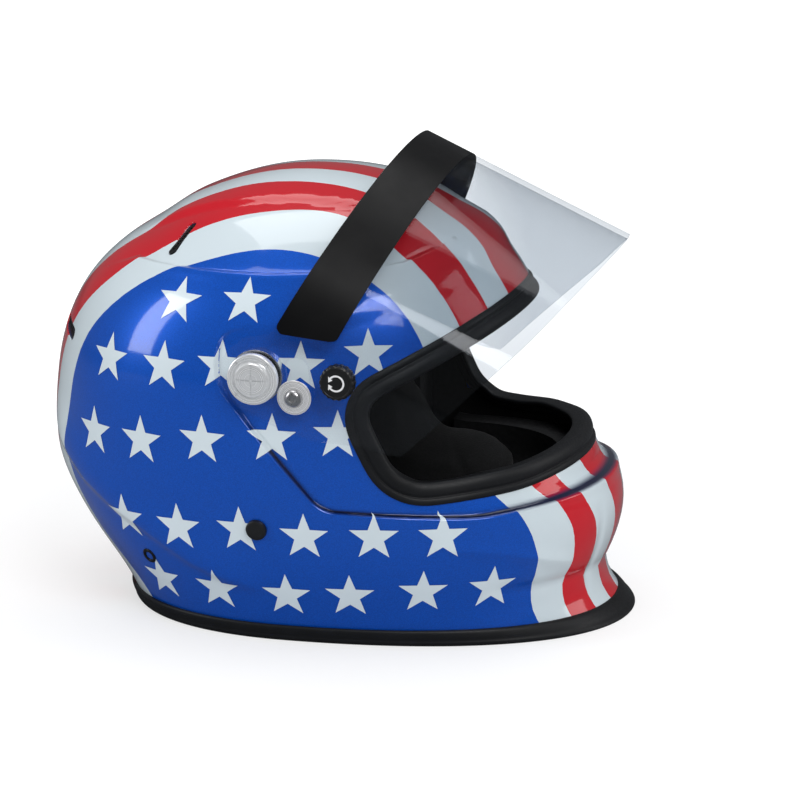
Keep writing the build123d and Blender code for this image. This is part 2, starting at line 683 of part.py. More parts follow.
# Visor fittings on each side
for name, side in sides.items():
    pivot = pivot_planes[name]
    detent = detent_planes[name]
    seat_top = arm_inner - fit_gap
    washer_level = arm_outer + running_gap * 2

    # Pivot boss: stands on the shell, carries the arm on its spigot and runs through the wall
    with BuildPart() as pivot_boss:
        with BuildSketch(pivot.offset(cavity_clear)):
            Circle(pivot_flange_radius)
        extrude(amount=seat_top - cavity_clear)
        with BuildSketch(pivot.offset(seat_top)):
            Circle(pivot_spigot_radius)
        extrude(amount=washer_level - seat_top)
        add(seat_form, mode=Mode.SUBTRACT)
        with BuildSketch(pivot.offset(nut_floor)):
            Circle(pivot_tail_radius)
        extrude(amount=seat_top - nut_floor)
        with BuildSketch(pivot.offset(seat_top - knob_thread_length)):
            Circle(knob_thread_radius)
        extrude(amount=overrun, mode=Mode.SUBTRACT)
    save(pivot_boss, f"pivot_boss_{name}")

    with BuildPart() as pivot_nut:
        with BuildSketch(pivot.offset(nut_floor)):
            Circle(nut_radius)
            Circle(pivot_tail_radius, mode=Mode.SUBTRACT)
        extrude(amount=nut_thickness)
    save(pivot_nut, f"pivot_nut_{name}")

    with BuildPart() as pivot_washer:
        with BuildSketch(pivot.offset(washer_level)):
            Circle(pivot_washer_radius)
            Circle(knob_thread_radius, mode=Mode.SUBTRACT)
        extrude(amount=pivot_washer_thickness)
    save(pivot_washer, f"pivot_washer_{name}")

    # Pivot knob: a machined screw with a raised disc cut into four quarters
    knob_level = washer_level + pivot_washer_thickness
    with BuildPart() as pivot_knob:
        with BuildSketch(pivot.offset(knob_level)):
            Circle(knob_radius)
        extrude(amount=knob_rim_thickness)
        chamfer(pivot_knob.faces().sort_by(Axis.Y)[0 if side < 0 else -1].edges(), knob_edge)
        with BuildSketch(pivot.offset(knob_level + knob_rim_thickness)):
            Circle(knob_disc_radius)
        extrude(amount=knob_disc_rise, taper=knob_disc_taper)
        with BuildSketch(pivot.offset(knob_level + knob_rim_thickness + knob_disc_rise)):
            with Locations((0, 0)):
                Rectangle(knob_disc_radius * 2, knob_notch_width)
                Rectangle(knob_notch_width, knob_disc_radius * 2)
            with PolarLocations(knob_disc_radius / 2, 4, start_angle=45):
                Circle(knob_dimple_radius)
        extrude(amount=-knob_disc_rise * knob_notch_share, mode=Mode.SUBTRACT)
        with BuildSketch(pivot.offset(knob_level)):
            Circle(knob_thread_radius)
        extrude(amount=-(knob_level - seat_top + knob_thread_length - fit_gap))
    save(pivot_knob, f"pivot_knob_{name}")

    # Detent: a post in the arm's curved slot, held by a cone washer and a button head screw
    with BuildPart() as detent_post:
        with BuildSketch(detent.offset(cavity_clear)):
            Circle(detent_radius)
        extrude(amount=washer_level - cavity_clear)
        add(seat_form, mode=Mode.SUBTRACT)
        with BuildSketch(detent.offset(nut_floor)):
            Circle(detent_tail_radius)
        extrude(amount=seat_top - nut_floor)
        with BuildSketch(detent.offset(washer_level)):
            Circle(detent_screw_radius)
        extrude(amount=-detent_screw_length, mode=Mode.SUBTRACT)
    save(detent_post, f"detent_post_{name}")

    with BuildPart() as detent_nut:
        with BuildSketch(detent.offset(nut_floor)):
            Circle(detent_nut_radius)
            Circle(detent_tail_radius, mode=Mode.SUBTRACT)
        extrude(amount=nut_thickness)
    save(detent_nut, f"detent_nut_{name}")

    with BuildPart() as detent_washer:
        with BuildSketch(detent.offset(washer_level)):
            Circle(detent_washer_radius)
        with BuildSketch(detent.offset(washer_level + detent_washer_thickness)):
            Circle(detent_washer_cone_radius)
        loft()
        with BuildSketch(detent.offset(washer_level)):
            Circle(detent_screw_radius)
        extrude(amount=detent_washer_thickness, mode=Mode.SUBTRACT)
    save(detent_washer, f"detent_washer_{name}")

    with BuildPart() as detent_screw:
        with BuildSketch(detent.offset(washer_level + detent_washer_thickness)):
            Circle(detent_head_radius)
        extrude(amount=detent_head_height)
        fillet(detent_screw.faces().sort_by(Axis.Y)[0 if side < 0 else -1].edges(),
               detent_head_height * detent_round_share)
        with BuildSketch(detent.offset(washer_level + detent_washer_thickness + detent_head_height)):
            RegularPolygon(detent_socket_radius, 6)
        extrude(amount=-detent_head_height * detent_round_share, mode=Mode.SUBTRACT)
        with BuildSketch(detent.offset(washer_level + detent_washer_thickness)):
            Circle(detent_screw_radius)
        extrude(amount=-(detent_washer_thickness + detent_screw_length - fit_gap))
    save(detent_screw, f"detent_screw_{name}")

    # Vent meshes, let into the slots of the shell
    for mesh_name, (planes, length, width) in vent_sets.items():
        columns = int((length - width) / mesh_pitch)
        rows = max(int((width - mesh_hole) / mesh_pitch), 1)
        with BuildPart() as vent_mesh:
            with BuildSketch(planes[name].offset(-mesh_sink)):
                SlotOverall(length, width)
                with GridLocations(mesh_pitch, mesh_pitch, columns, rows):
                    Rectangle(mesh_hole, mesh_hole, mode=Mode.SUBTRACT)
            extrude(amount=-mesh_thickness)
        save(vent_mesh, f"{mesh_name}_{name}")

# Visor lock: a knob on the right arm that turns a cam behind it
lock_plane = side_plane.offset(arm_outer)
with BuildPart() as lock_knob:
    with BuildSketch(lock_plane.offset(running_gap * 2)):
        with Locations((lock_along, lock_up)):
            Circle(lock_radius)
            with PolarLocations(lock_radius, lock_grips):
                Circle(lock_grip_depth, mode=Mode.SUBTRACT)
    extrude(amount=lock_height)
    chamfer(lock_knob.faces().sort_by(Axis.Y)[0].edges(), lock_edge)
    with BuildSketch(lock_plane):
        with Locations((lock_along, lock_up)):
            Circle(lock_shaft_radius)
    extrude(amount=lock_height / 2, mode=Mode.SUBTRACT)
save(lock_knob, "lock_knob")
with BuildPart() as lock_cam:
    with BuildSketch(side_plane.offset(arm_inner - lock_cam_gap)):
        with Locations((lock_along, lock_up)):
            SlotOverall(lock_cam_length, lock_cam_width)
    extrude(amount=-lock_cam_thickness)
    with BuildSketch(side_plane.offset(arm_inner - lock_cam_gap)):
        with Locations((lock_along, lock_up)):
            Circle(lock_shaft_radius)
    extrude(amount=lock_cam_gap + visor_thickness + lock_height / 2)
save(lock_cam, "lock_cam")
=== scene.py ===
import bpy
import bmesh
import math
import numpy as np
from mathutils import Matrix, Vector


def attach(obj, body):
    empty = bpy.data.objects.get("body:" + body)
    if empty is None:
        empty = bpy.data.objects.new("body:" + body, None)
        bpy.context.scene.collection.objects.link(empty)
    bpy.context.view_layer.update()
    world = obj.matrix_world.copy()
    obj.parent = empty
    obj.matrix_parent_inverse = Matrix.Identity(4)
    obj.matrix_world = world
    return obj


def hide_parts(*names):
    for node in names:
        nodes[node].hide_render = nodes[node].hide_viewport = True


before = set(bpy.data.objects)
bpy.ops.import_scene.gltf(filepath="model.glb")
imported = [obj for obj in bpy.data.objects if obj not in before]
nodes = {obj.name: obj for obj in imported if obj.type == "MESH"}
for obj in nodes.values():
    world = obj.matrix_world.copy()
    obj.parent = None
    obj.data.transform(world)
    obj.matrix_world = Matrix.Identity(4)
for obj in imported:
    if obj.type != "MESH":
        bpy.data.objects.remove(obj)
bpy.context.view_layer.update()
MM = 0.001

# Outer form, in millimetres: height, reach behind and in front, half width, how far back the crown
# lies and how full the curves are. SHELL's rows go up from the base: height share, rear, front and
# side reach as shares, and where it is widest. RECESS has the visor seat's side and front shares.
HEIGHT, REAR, FRONT, HALF = 245.0, 168.0, 161.0, 125.0
SETBACK, FULL = 14.0, 0.6125
SHELL = np.array([
    (0.000, 0.708, 1.020, 0.820, 0.071), (0.073, 0.762, 0.935, 0.860, 0.071),
    (0.163, 0.854, 0.955, 0.920, 0.071), (0.269, 0.949, 0.980, 0.968, 0.077),
    (0.351, 0.994, 0.935, 0.990, 0.083), (0.424, 1.000, 0.865, 0.998, 0.089),
    (0.551, 0.988, 0.805, 0.998, 0.101), (0.673, 0.940, 0.712, 0.968, 0.119),
    (0.776, 0.848, 0.616, 0.892, 0.119), (0.873, 0.673, 0.490, 0.732, 0.113),
    (0.955, 0.429, 0.273, 0.488, 0.098), (0.989, 0.259, 0.096, 0.248, 0.086),
])
RECESS = np.array([
    (0, 0), (0, 0), (0, 0), (0.1, 0.1), (0.9, 1), (1, 0.3), (1, 0.3), (0.8, 0.3), (0.1, 0.1),
    (0, 0), (0, 0), (0, 0),
], float)
SEAT_LEAST, SEAT_SIDE, SEAT_FRONT = 0.8, 2.2, 7.2
SIDES = ((-1, "right"), (1, "left"))


def spline(xs, ys):
    """A natural cubic spline through the points, as a function of an array."""
    xs, ys = np.asarray(xs, float), np.asarray(ys, float)
    n = len(xs)
    h = np.diff(xs)
    a = np.zeros((n, n))
    b = np.zeros((n,) + ys.shape[1:])
    a[0, 0] = a[-1, -1] = 1
    for i in range(1, n - 1):
        a[i, i - 1], a[i, i], a[i, i + 1] = h[i - 1], 2 * (h[i - 1] + h[i]), h[i]
        b[i] = 6 * ((ys[i + 1] - ys[i]) / h[i] - (ys[i] - ys[i - 1]) / h[i - 1])
    m = np.linalg.solve(a, b)

    def value(x):
        x = np.asarray(x, float)
        i = np.clip(np.searchsorted(xs, x) - 1, 0, n - 2)
        t0, t1, w = x - xs[i], xs[i + 1] - x, h[i]
        if ys.ndim > 1:
            t0, t1, w = t0[..., None], t1[..., None], w[..., None]
        return (m[i] * t1**3 + m[i + 1] * t0**3) / (6 * w) + (ys[i] / w - m[i] * w / 6) * t1 + (
            ys[i + 1] / w - m[i + 1] * w / 6) * t0
    return value


def curve(*points):
    """Straight-line interpolation between (x, y) points, softened at each one."""
    xs, ys = zip(*points)
    grid = np.linspace(xs[0], xs[-1], 400)
    line = np.interp(grid, xs, ys)
    width = max(3, int(400 * 0.02))
    kernel = np.hanning(width * 2 + 1)
    line = np.convolve(np.pad(line, width, mode="edge"), kernel / kernel.sum(), mode="valid")
    return lambda x: np.interp(x, grid, line)


# Rows run from the base to the crown with q = sqrt(1 - height share), so that the crown is round
_q = np.sqrt(1 - SHELL[:, 0])
_size = SHELL[:, 1:] * (REAR, FRONT, HALF, REAR)
_apex = np.array([SETBACK, -SETBACK, 0.0, SETBACK])
_order = np.argsort(_q)
_qs, _sz = _q[_order], _size[_order]
section = spline(np.concatenate([-_qs[::-1], [0], _qs]),
                 np.concatenate([(2 * _apex - _sz)[::-1], [_apex], _sz]))


def smooth(a, b, x):
    t = np.clip((np.asarray(x, float) - a) / (b - a), 0, 1)
    return t * t * (3 - 2 * t)


def unit(v, least=0.0):
    """Vectors made one long. The least length guards those that may vanish."""
    return v / (np.linalg.norm(v, axis=-1, keepdims=True) + least)


def seat_insets(q):
    """How deep the visor seat lies under the outer form, at the side and in front."""
    level = 1 - q * q
    side = SEAT_LEAST + SEAT_SIDE * np.interp(level, SHELL[:, 0], RECESS[:, 0])
    front = SEAT_LEAST + SEAT_FRONT * np.interp(level, SHELL[:, 0], RECESS[:, 1])
    return side, front


def ring(u, q, inset=0.0, seat=0.0):
    """Points of the form: u runs 0 to 4 round the helmet from the front by the wearer's left."""
    u, q = np.broadcast_arrays(np.asarray(u, float) % 4, np.asarray(q, float))
    rear, front, half, wide = np.moveaxis(section(q), -1, 0)
    side_in, front_in = seat_insets(q)
    rear = rear - inset
    front = front - inset - seat * front_in
    half = half - inset - seat * side_in
    t = u % 1
    quarter = np.floor(u).astype(int) % 4
    forward = (quarter == 0) | (quarter == 3)
    left = quarter < 2
    end_x = np.where(forward, front, -rear)
    s = np.where((quarter == 0) | (quarter == 2), t, 1 - t)
    b0, b1, b2, b3 = (1 - s)**3, 3 * s * (1 - s)**2, 3 * s * s * (1 - s), s**3
    x = end_x * (b0 + b1) + (-wide + FULL * (end_x + wide)) * b2 - wide * b3
    y = half * (FULL * b1 + b2 + b3)
    z = (1 - q * q) * HEIGHT * (HEIGHT - inset) / HEIGHT
    return np.stack([x, np.where(left, y, -y), z], -1)


def fillet(corners, radii, step):
    """A closed outline with rounded corners as points about one step apart."""
    pts, n = [], len(corners)
    for i in range(n):
        p, a, b = (np.array(corners[k % n], float) for k in (i, i - 1, i + 1))
        da, db = (a - p) / np.linalg.norm(a - p), (b - p) / np.linalg.norm(b - p)
        r = radii[i]
        if r <= 0:
            pts.append(p)
            continue
        half_angle = math.acos(np.clip(da @ db, -1, 1)) / 2
        reach = r / math.tan(half_angle)
        centre = p + (da + db) / np.linalg.norm(da + db) * r / math.sin(half_angle)
        s, e = p + da * reach - centre, p + db * reach - centre
        turn = math.atan2(s[0] * e[1] - s[1] * e[0], s @ e)
        for k in range(13):
            c, d = math.cos(turn * k / 12), math.sin(turn * k / 12)
            pts.append(centre + (s[0] * c - s[1] * d, s[0] * d + s[1] * c))
    pts = np.array(pts)
    out = []
    for a, b in zip(pts, np.roll(pts, -1, 0)):
        k = max(1, int(np.linalg.norm(b - a) / step))
        out += [a + (b - a) * i / k for i in range(k)]
    return np.array(out)


def side_distance(outline, x, z, closed=True):
    """Distance in the side view to an outline: positive inside it. An open line gives plain distance
    and the side it is on."""
    p = np.stack([x, z], -1).reshape(-1, 2)
    a = outline if closed else outline[:-1]
    b = np.roll(outline, -1, 0) if closed else outline[1:]
    best = np.full(len(p), 1e9)
    inside = np.zeros(len(p), bool)
    sign = np.ones(len(p))
    for s, e in zip(a, b):
        d = e - s
        w = p - s
        t = np.clip((w @ d) / (d @ d), 0, 1)
        dist = np.hypot(*(w - t[:, None] * d).T)
        if not closed:
            near = dist < best
            sign[near] = np.sign(d[0] * w[near, 1] - d[1] * w[near, 0])
        best = np.minimum(best, dist)
        if closed and s[1] != e[1]:
            hit = (s[1] > p[:, 1]) != (e[1] > p[:, 1])
            inside ^= hit & (p[:, 0] < s[0] + (p[:, 1] - s[1]) * d[0] / d[1])
    return (np.where(inside, best, -best) if closed else best * sign).reshape(np.shape(x))


EYEPORT = fillet([(118, 88), (50, 82.1), (26.6, 131), (33, 150), (201, 238.4), (201, 107.6)],
                 [90.6, 34.0, 26, 20, 0, 0], 1.5)
RECESS_LINE = fillet([(-44, 175.9), (-44, 148.5), (15.5, 79.4), (98, 75.5), (201, 86), (201, 240)],
                     [14.7, 24.5, 22, 98, 0, 0], 2.5)
RIDGE = np.array([(-163, 112), (-152, 101), (-144, 94), (-128, 81), (-111, 71), (-92, 62), (-77, 54),
                  (-61, 45), (-40, 37), (-15, 31)], float)
CHIN_CREASE = np.array([(76, 60), (89, 58), (108, 55), (126, 49), (139, 43)], float)
SHELF = np.array([(-122, 196), (-103, 204), (-70, 204.5), (-20, 205), (20, 207), (50, 210), (62, 214)],
                 float)
# Vent slots: place in the side view, direction, length and width
VENTS = [(-77.5, 217.0, (0.39, 0.76, 0.52), 24.0, 4.4), (-149.0, 159.0, (0.49, -0.86, -0.16), 34.0, 6.4)]


def round_place(x, q, wide, rounds, seat=0.0):
    """How far round the left side the form comes to x at each q, by halving."""
    forward = x > -wide
    lo, hi = np.zeros_like(x), np.ones_like(x)
    for _ in range(rounds):
        mid = (lo + hi) / 2
        further = ring(np.where(forward, mid, 1 + mid), q, seat=seat)[..., 0] > x
        lo, hi = np.where(further, mid, lo), np.where(further, hi, mid)
    return np.where(forward, lo, 1 + lo)


def find(x, z, side):
    """The (u, q) of the outer form's point at x and z on one side (1 left, -1 right)."""
    x, z = np.asarray(x, float), np.asarray(z, float)
    q = np.sqrt(np.clip(1 - z / HEIGHT, 1e-6, 1))
    rear, front, _, wide = np.moveaxis(section(q), -1, 0)
    u = round_place(np.clip(x, -rear + 0.01, front - 0.01), q, wide, 30)
    return np.where(side > 0, u, 4 - u), q


def vent_axes(vent):
    """Centre, direction along the slot and across it for the slot on the right side."""
    x, z, along, length, width = vent
    u, q = find(x, z, -1)
    e = 1e-3
    n = unit(np.cross(ring(u + e, q) - ring(u - e, q), ring(u, q - e) - ring(u, q + e)))
    a = unit(np.array(along) - n * (n @ np.array(along)))
    return ring(u, q), a, np.cross(n, a), length, width


VENT_AXES = [vent_axes(v) for v in VENTS]


def vent_distance(p):
    """How far inside a vent slot a point is, positive inside, mirrored to both sides."""
    m = np.where(p[..., 1:2] > 0, p * (1, -1, 1), p)
    best = np.full(p.shape[:-1], -99.0)
    for centre, a, c, length, width in VENT_AXES:
        d = m - centre
        along, across = d @ a, d @ c
        off = np.abs(along) - (length - width) / 2
        dist = width / 2 - np.where(off > 0, np.hypot(off, across), np.abs(across))
        depth = np.abs(d @ np.cross(a, c))
        best = np.maximum(best, np.where(depth < 12, dist, -99))
    return best


def seam(x, z):
    """1 in the groove along the lower edge of the visor recess, falling to 0 beside it."""
    d = side_distance(RECESS_LINE, x, z)
    return smooth(140, 118, z) * np.exp(-((d - 0.9) / 1.0)**2)


def features(p):
    """How far each point of the outer form stands in or out along its normal, in millimetres."""
    x, y, z = p[..., 0], np.abs(p[..., 1]), p[..., 2]
    d = side_distance(RIDGE, x, z, closed=False)
    ends = smooth(-166, -146, x) * smooth(-8, -45, x)
    out = 2.3 * ends * np.where(d > 0, np.exp(-(d / 13)**2), np.exp(-(d / 4.5)**2))
    d = side_distance(CHIN_CREASE, x, z, closed=False)
    out += 1.5 * smooth(66, 92, x) * smooth(150, 132, x) * np.exp(-(np.abs(d) / 4.5)**1.6)
    out += 1.1 * smooth(118, 138, x) * smooth(96, 86, z) * smooth(74, 82, z)
    out -= 1.6 * smooth(96, 120, x) * np.exp(-(np.abs(z - 27 - 0.05 * y) / 4.0)**1.5)
    across = np.exp(-((y - 30 - 0.12 * (z - 40)) / 3.0)**2)
    out -= 0.9 * smooth(104, 126, x) * across * smooth(74, 66, z) * smooth(16, 26, z)
    d = side_distance(SHELF, x, z, closed=False)
    ends = smooth(-128, -92, x) * smooth(74, 50, x)
    out += ends * (-2.1 * smooth(-0.6, 1.8, d) * smooth(26, 3, d) + 0.5 * np.exp(-((d + 1.5) / 3)**2))
    edge = curve((-140, 0), (-112, 40), (-84, 50), (-50, 58), (10, 56), (60, 50), (90, 42))
    out += 2.3 * smooth(0, 7, edge(x) - y) * smooth(-118, -84, x) * smooth(196, 214, z)
    out -= 1.5 * seam(x, z)
    out -= 5.5 * smooth(-0.5, 0.3, vent_distance(p))
    return out


def base_point(u, q):
    """The skin before its creases: the outer form, sunk to the seat inside the visor recess."""
    p = ring(u, q)
    s = ring(u, q, seat=1.0)
    d = side_distance(RECESS_LINE, p[..., 0], p[..., 2])
    w = smooth(0.0, 2.4, d) * smooth(183, 168, p[..., 2] - 0.35 * np.maximum(p[..., 0], 0))
    w = np.maximum(w, smooth(-4.0, -0.5, side_distance(EYEPORT, p[..., 0], p[..., 2])))
    return p, p + (s - p) * w[..., None]


def skin(u, q, raise_by=0.0):
    """Points and normals of the painted skin."""
    u, q = np.asarray(u, float), np.clip(np.asarray(q, float), 1e-4, 1.0)

    def point(uu, qq, lift):
        outer, p = base_point(uu, qq)
        e = 2e-3
        du = ring(uu + e, qq) - ring(uu - e, qq)
        dq = ring(uu, np.maximum(qq - e, 5e-5)) - ring(uu, qq + e)
        return p + unit(np.cross(du, dq), 1e-12) * (features(outer) + lift)[..., None]
    e, f = 1.2e-3, 0.6e-3
    p = point(u, q, raise_by)
    du = point(u + e, q, raise_by) - point(u - e, q, raise_by)
    dq = point(u, np.maximum(q - f, 5e-5), raise_by) - point(u, q + f, raise_by)
    n = unit(np.cross(du, dq), 1e-12)
    return p, np.where((q < 0.01)[..., None], np.array([0, 0, 1.0]), n)


# Mesh and material helpers
def mesh_object(name, points, faces, body, normals=None, smooth_faces=True):
    """A mesh from points in millimetres, riding on a body."""
    mesh = bpy.data.meshes.new(name)
    mesh.from_pydata((np.asarray(points, float).reshape(-1, 3) * MM).tolist(), [], faces)
    mesh.validate()
    mesh.update()
    if smooth_faces:
        mesh.polygons.foreach_set("use_smooth", [True] * len(mesh.polygons))
    if normals is not None:
        mesh.normals_split_custom_set_from_vertices(np.asarray(normals, float).reshape(-1, 3).tolist())
    piece = bpy.data.objects.new(name, mesh)
    bpy.context.collection.objects.link(piece)
    if body:
        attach(piece, body)
    return piece


def grid_faces(rows, cols, wrap_rows=False, wrap_cols=False, flip=False):
    faces = []
    for i in range(rows if wrap_rows else rows - 1):
        for j in range(cols if wrap_cols else cols - 1):
            a, b = i * cols + j, i * cols + (j + 1) % cols
            c, d = ((i + 1) % rows) * cols + (j + 1) % cols, ((i + 1) % rows) * cols + j
            faces.append((a, d, c, b) if flip else (a, b, c, d))
    return faces


def edit(piece, work):
    """Does one piece of work on the mesh as a bmesh."""
    bm = bmesh.new()
    bm.from_mesh(piece.data)
    work(bm)
    bm.to_mesh(piece.data)
    bm.free()
    return piece


def crease_by_angle(piece, degrees):
    """Smooth shading that keeps edges sharper than an angle."""
    def work(bm):
        bmesh.ops.recalc_face_normals(bm, faces=bm.faces)
        for edge in bm.edges:
            edge.smooth = len(edge.link_faces) == 2 and edge.calc_face_angle(0) < math.radians(degrees)
        for face in bm.faces:
            face.smooth = True
    return edit(piece, work)


def apply_modifiers(piece):
    """Bakes the piece's modifiers into its mesh."""
    graph = bpy.context.evaluated_depsgraph_get()
    mesh = bpy.data.meshes.new_from_object(piece.evaluated_get(graph))
    piece.modifiers.clear()
    mesh.name, piece.data = piece.data.name, mesh


def modify(piece, kind, **settings):
    """Adds one modifier and bakes it in."""
    modifier = piece.modifiers.new(kind.lower(), kind)
    for key, value in settings.items():
        setattr(modifier, key, value)
    apply_modifiers(piece)


def lathe(name, profile, origin, axis, body, spans, wave=None):
    """A turned piece: the profile's (radius, height) pairs go round the axis from its origin."""
    axis = unit(np.array(axis, float))
    side = unit(np.cross(axis, (0, 0, 1.0)))
    ref = np.cross(side, axis)
    rows = []
    for radius, height in profile:
        for k in range(spans):
            w = 2 * math.pi * k / spans
            r = radius * (1 + (wave(w, radius, height) if wave else 0))
            out = ref * math.cos(w) + side * math.sin(w)
            rows.append(np.array(origin) + axis * height + out * r)
    piece = mesh_object(name, rows, grid_faces(len(profile), spans, wrap_cols=True), body)
    edit(piece, lambda bm: bmesh.ops.remove_doubles(bm, verts=bm.verts, dist=1e-6))
    return crease_by_angle(piece, 28)


def tree(name):
    """A new material, its node tree and its shader."""
    material = bpy.data.materials.new(name)
    material.use_nodes = True
    nt = material.node_tree
    return material, nt, nt.nodes["Principled BSDF"]


def feed(nt, node, inputs):
    """Links or sets a node's inputs."""
    for key, value in inputs.items():
        if isinstance(value, bpy.types.NodeSocket):
            nt.links.new(value, node.inputs[key])
        else:
            node.inputs[key].default_value = value
    return node


def add(nt, kind, inputs=None, **settings):
    node = nt.nodes.new(kind)
    for key, value in settings.items():
        setattr(node, key, value)
    return feed(nt, node, inputs or {})


def maths(nt, operation, *values, **settings):
    return add(nt, "ShaderNodeMath", dict(enumerate(values)), operation=operation, **settings).outputs[0]


def on_object(nt):
    return add(nt, "ShaderNodeTexCoord").outputs["Object"]


def stored(nt, name):
    """A value stored on the mesh."""
    return add(nt, "ShaderNodeAttribute", attribute_name=name).outputs["Fac"]


def cells(nt, scale, output="Distance", **settings):
    inputs = {"Vector": on_object(nt), "Scale": scale}
    return add(nt, "ShaderNodeTexVoronoi", inputs, **settings).outputs[output]


def ramp(nt, fac, start, low, end, high):
    """One colour turning into another between two values."""
    node = add(nt, "ShaderNodeValToRGB", {"Fac": fac})
    for element, position, colour in zip(node.color_ramp.elements, (start, end), (low, high)):
        element.position = position
        element.color = (*colour, 1)
    return node.outputs["Color"]


def shades(nt, fac, colour, low, high, start=0.3, end=0.7):
    """A colour times one factor turning into the same colour times another."""
    dark, light = (tuple(min(1, c * k) for c in colour) for k in (low, high))
    return ramp(nt, fac, start, dark, end, light)


def grain(nt, scale, detail=4.0):
    return add(nt, "ShaderNodeTexNoise", {"Vector": on_object(nt), "Scale": scale, "Detail": detail,
                                          "Roughness": 0.55}).outputs["Fac"]


def bump(nt, shader, height, strength, distance):
    node = add(nt, "ShaderNodeBump", {"Height": height, "Strength": strength, "Distance": distance})
    feed(nt, shader, {"Normal": node.outputs["Normal"]})


def spread(nt, fac, low, high):
    """A noise value spread between two limits."""
    return add(nt, "ShaderNodeMapRange", {"Value": fac, "From Min": 0.3, "From Max": 0.7, "To Min": low,
                                          "To Max": high}).outputs["Result"]


def worn(name, colour, rough, scale, vary=0.18, relief=0.15, metallic=0.0, specular=0.5):
    """A grained finish: its colour and roughness drift a little and its surface has fine relief."""
    material, nt, shader = tree(name)
    fine = grain(nt, scale)
    feed(nt, shader, {
        "Base Color": shades(nt, grain(nt, scale / 14, 3.0), colour, 1 - vary, 1 + vary),
        "Roughness": spread(nt, fine, rough * 0.85, min(1, rough * 1.15)),
        "Metallic": metallic, "Specular IOR Level": specular})
    bump(nt, shader, fine, relief, 0.0002)
    return material


def lacquer(nt, shader, inputs):
    """A thick clear coat with a faint waviness."""
    feed(nt, shader, {"Coat Weight": 1.0, "Coat Roughness": 0.07, **inputs})
    bump(nt, shader, grain(nt, 55.0, 2.0), 0.02, 0.0004)


# Materials
BLUE, WHITE, RED = (0.002, 0.086, 0.53), (0.61, 0.69, 0.73), (0.56, 0.006, 0.016)


def paint_material():
    """Glossy lacquer over blue, red and white, split by the stripe value stored on the mesh, with painted
    shade in the vent slots and along the groove under the visor recess.
    """
    material, nt, shader = tree("shell_paint")
    value = stored(nt, "stripe")
    flake = add(nt, "ShaderNodeSeparateColor", {"Color": cells(nt, 2600.0, "Color")}).outputs["Red"]
    deep = shades(nt, flake, BLUE, 0.88, 1.14, 0.0, 1.0)
    whites = shades(nt, grain(nt, 9.0), WHITE, 0.985, 1.0)
    reds = shades(nt, grain(nt, 11.0), RED, 0.93, 1.0)

    def mix(fac, a, b):
        return add(nt, "ShaderNodeMix", {"Factor": fac, 6: a, 7: b}, data_type="RGBA").outputs[2]
    colour = reds
    for limit, beyond in ((0.5, whites), (1.5, reds), (2.5, whites), (3.5, deep)):
        colour = mix(maths(nt, "GREATER_THAN", value, limit), colour, beyond)
    # The vent slots are dented, not cut: their near black is painted shade of the opening, darker the deeper
    # in, and also stands in for the black vent mesh behind.
    slot = stored(nt, "slot_depth")
    black = ramp(nt, slot, 0.0, (0.004, 0.012, 0.08), 1.0, (0.002, 0.003, 0.01))
    colour = mix(maths(nt, "GREATER_THAN", slot, 0.15), colour, black)
    # Painted shade darkens the groove along the lower edge of the visor recess.
    groove_shade_mask = stored(nt, "seam")
    shadow = ramp(nt, groove_shade_mask, 0.0, (0.002, 0.012, 0.09), 1.0, (0.001, 0.004, 0.03))
    colour = mix(maths(nt, "MULTIPLY", groove_shade_mask, 1.15, use_clamp=True), colour, shadow)
    metal = maths(nt, "MULTIPLY", maths(nt, "GREATER_THAN", value, 3.5), 0.35)
    lacquer(nt, shader, {"Base Color": colour, "Metallic": metal, "Roughness": 0.35,
                         "Specular IOR Level": 0.15, "Coat IOR": 1.5})
    return material


def star_material():
    material, nt, shader = tree("star_paint")
    lacquer(nt, shader, {"Base Color": shades(nt, grain(nt, 30.0), WHITE, 1.08, 1.11), "Roughness": 0.32})
    return material


def turned_material(name, colour, rough, centre, rings=2200.0):
    """Bright metal with the fine rings that a lathe leaves about a line across the helmet."""
    material, nt, shader = tree(name)
    local = add(nt, "ShaderNodeVectorMath", {0: on_object(nt), 1: tuple(np.array(centre) * MM)},
                operation="SUBTRACT").outputs["Vector"]
    across = add(nt, "ShaderNodeVectorMath", {0: local, 1: (0, 1, 0)},
                 operation="CROSS_PRODUCT").outputs["Vector"]
    radius = add(nt, "ShaderNodeVectorMath", {0: across}, operation="LENGTH").outputs["Value"]
    lines = add(nt, "ShaderNodeTexNoise", {"W": maths(nt, "MULTIPLY", radius, rings), "Scale": 1.0,
                                           "Detail": 3.0}, noise_dimensions="1D").outputs["Fac"]
    feed(nt, shader, {"Base Color": shades(nt, lines, colour, 0.86, 1.0), "Metallic": 0.55,
                      "Roughness": spread(nt, lines, rough * 0.8, rough * 1.3)})
    bump(nt, shader, lines, 0.25, 0.00012)
    return material


def weave_material(name, colour, pitch=0.0011):
    """Woven webbing: crossed ribs in its colour and relief."""
    material, nt, shader = tree(name)
    coords = add(nt, "ShaderNodeTexCoord").outputs["UV"]
    ribs = [add(nt, "ShaderNodeTexWave", {"Vector": coords, "Scale": scale / pitch, "Distortion": bend,
                                          "Detail": 1.0}, bands_direction=way).outputs["Fac"]
            for way, scale, bend in (("X", 0.3, 0.6), ("Y", 0.18, 0.8))]
    both = maths(nt, "MULTIPLY", *ribs)
    feed(nt, shader, {"Base Color": shades(nt, both, colour, 0.5, 1.5, 0.0, 1.0), "Roughness": 0.75,
                      "Sheen Weight": 0.3})
    bump(nt, shader, both, 0.6, 0.0004)
    return material


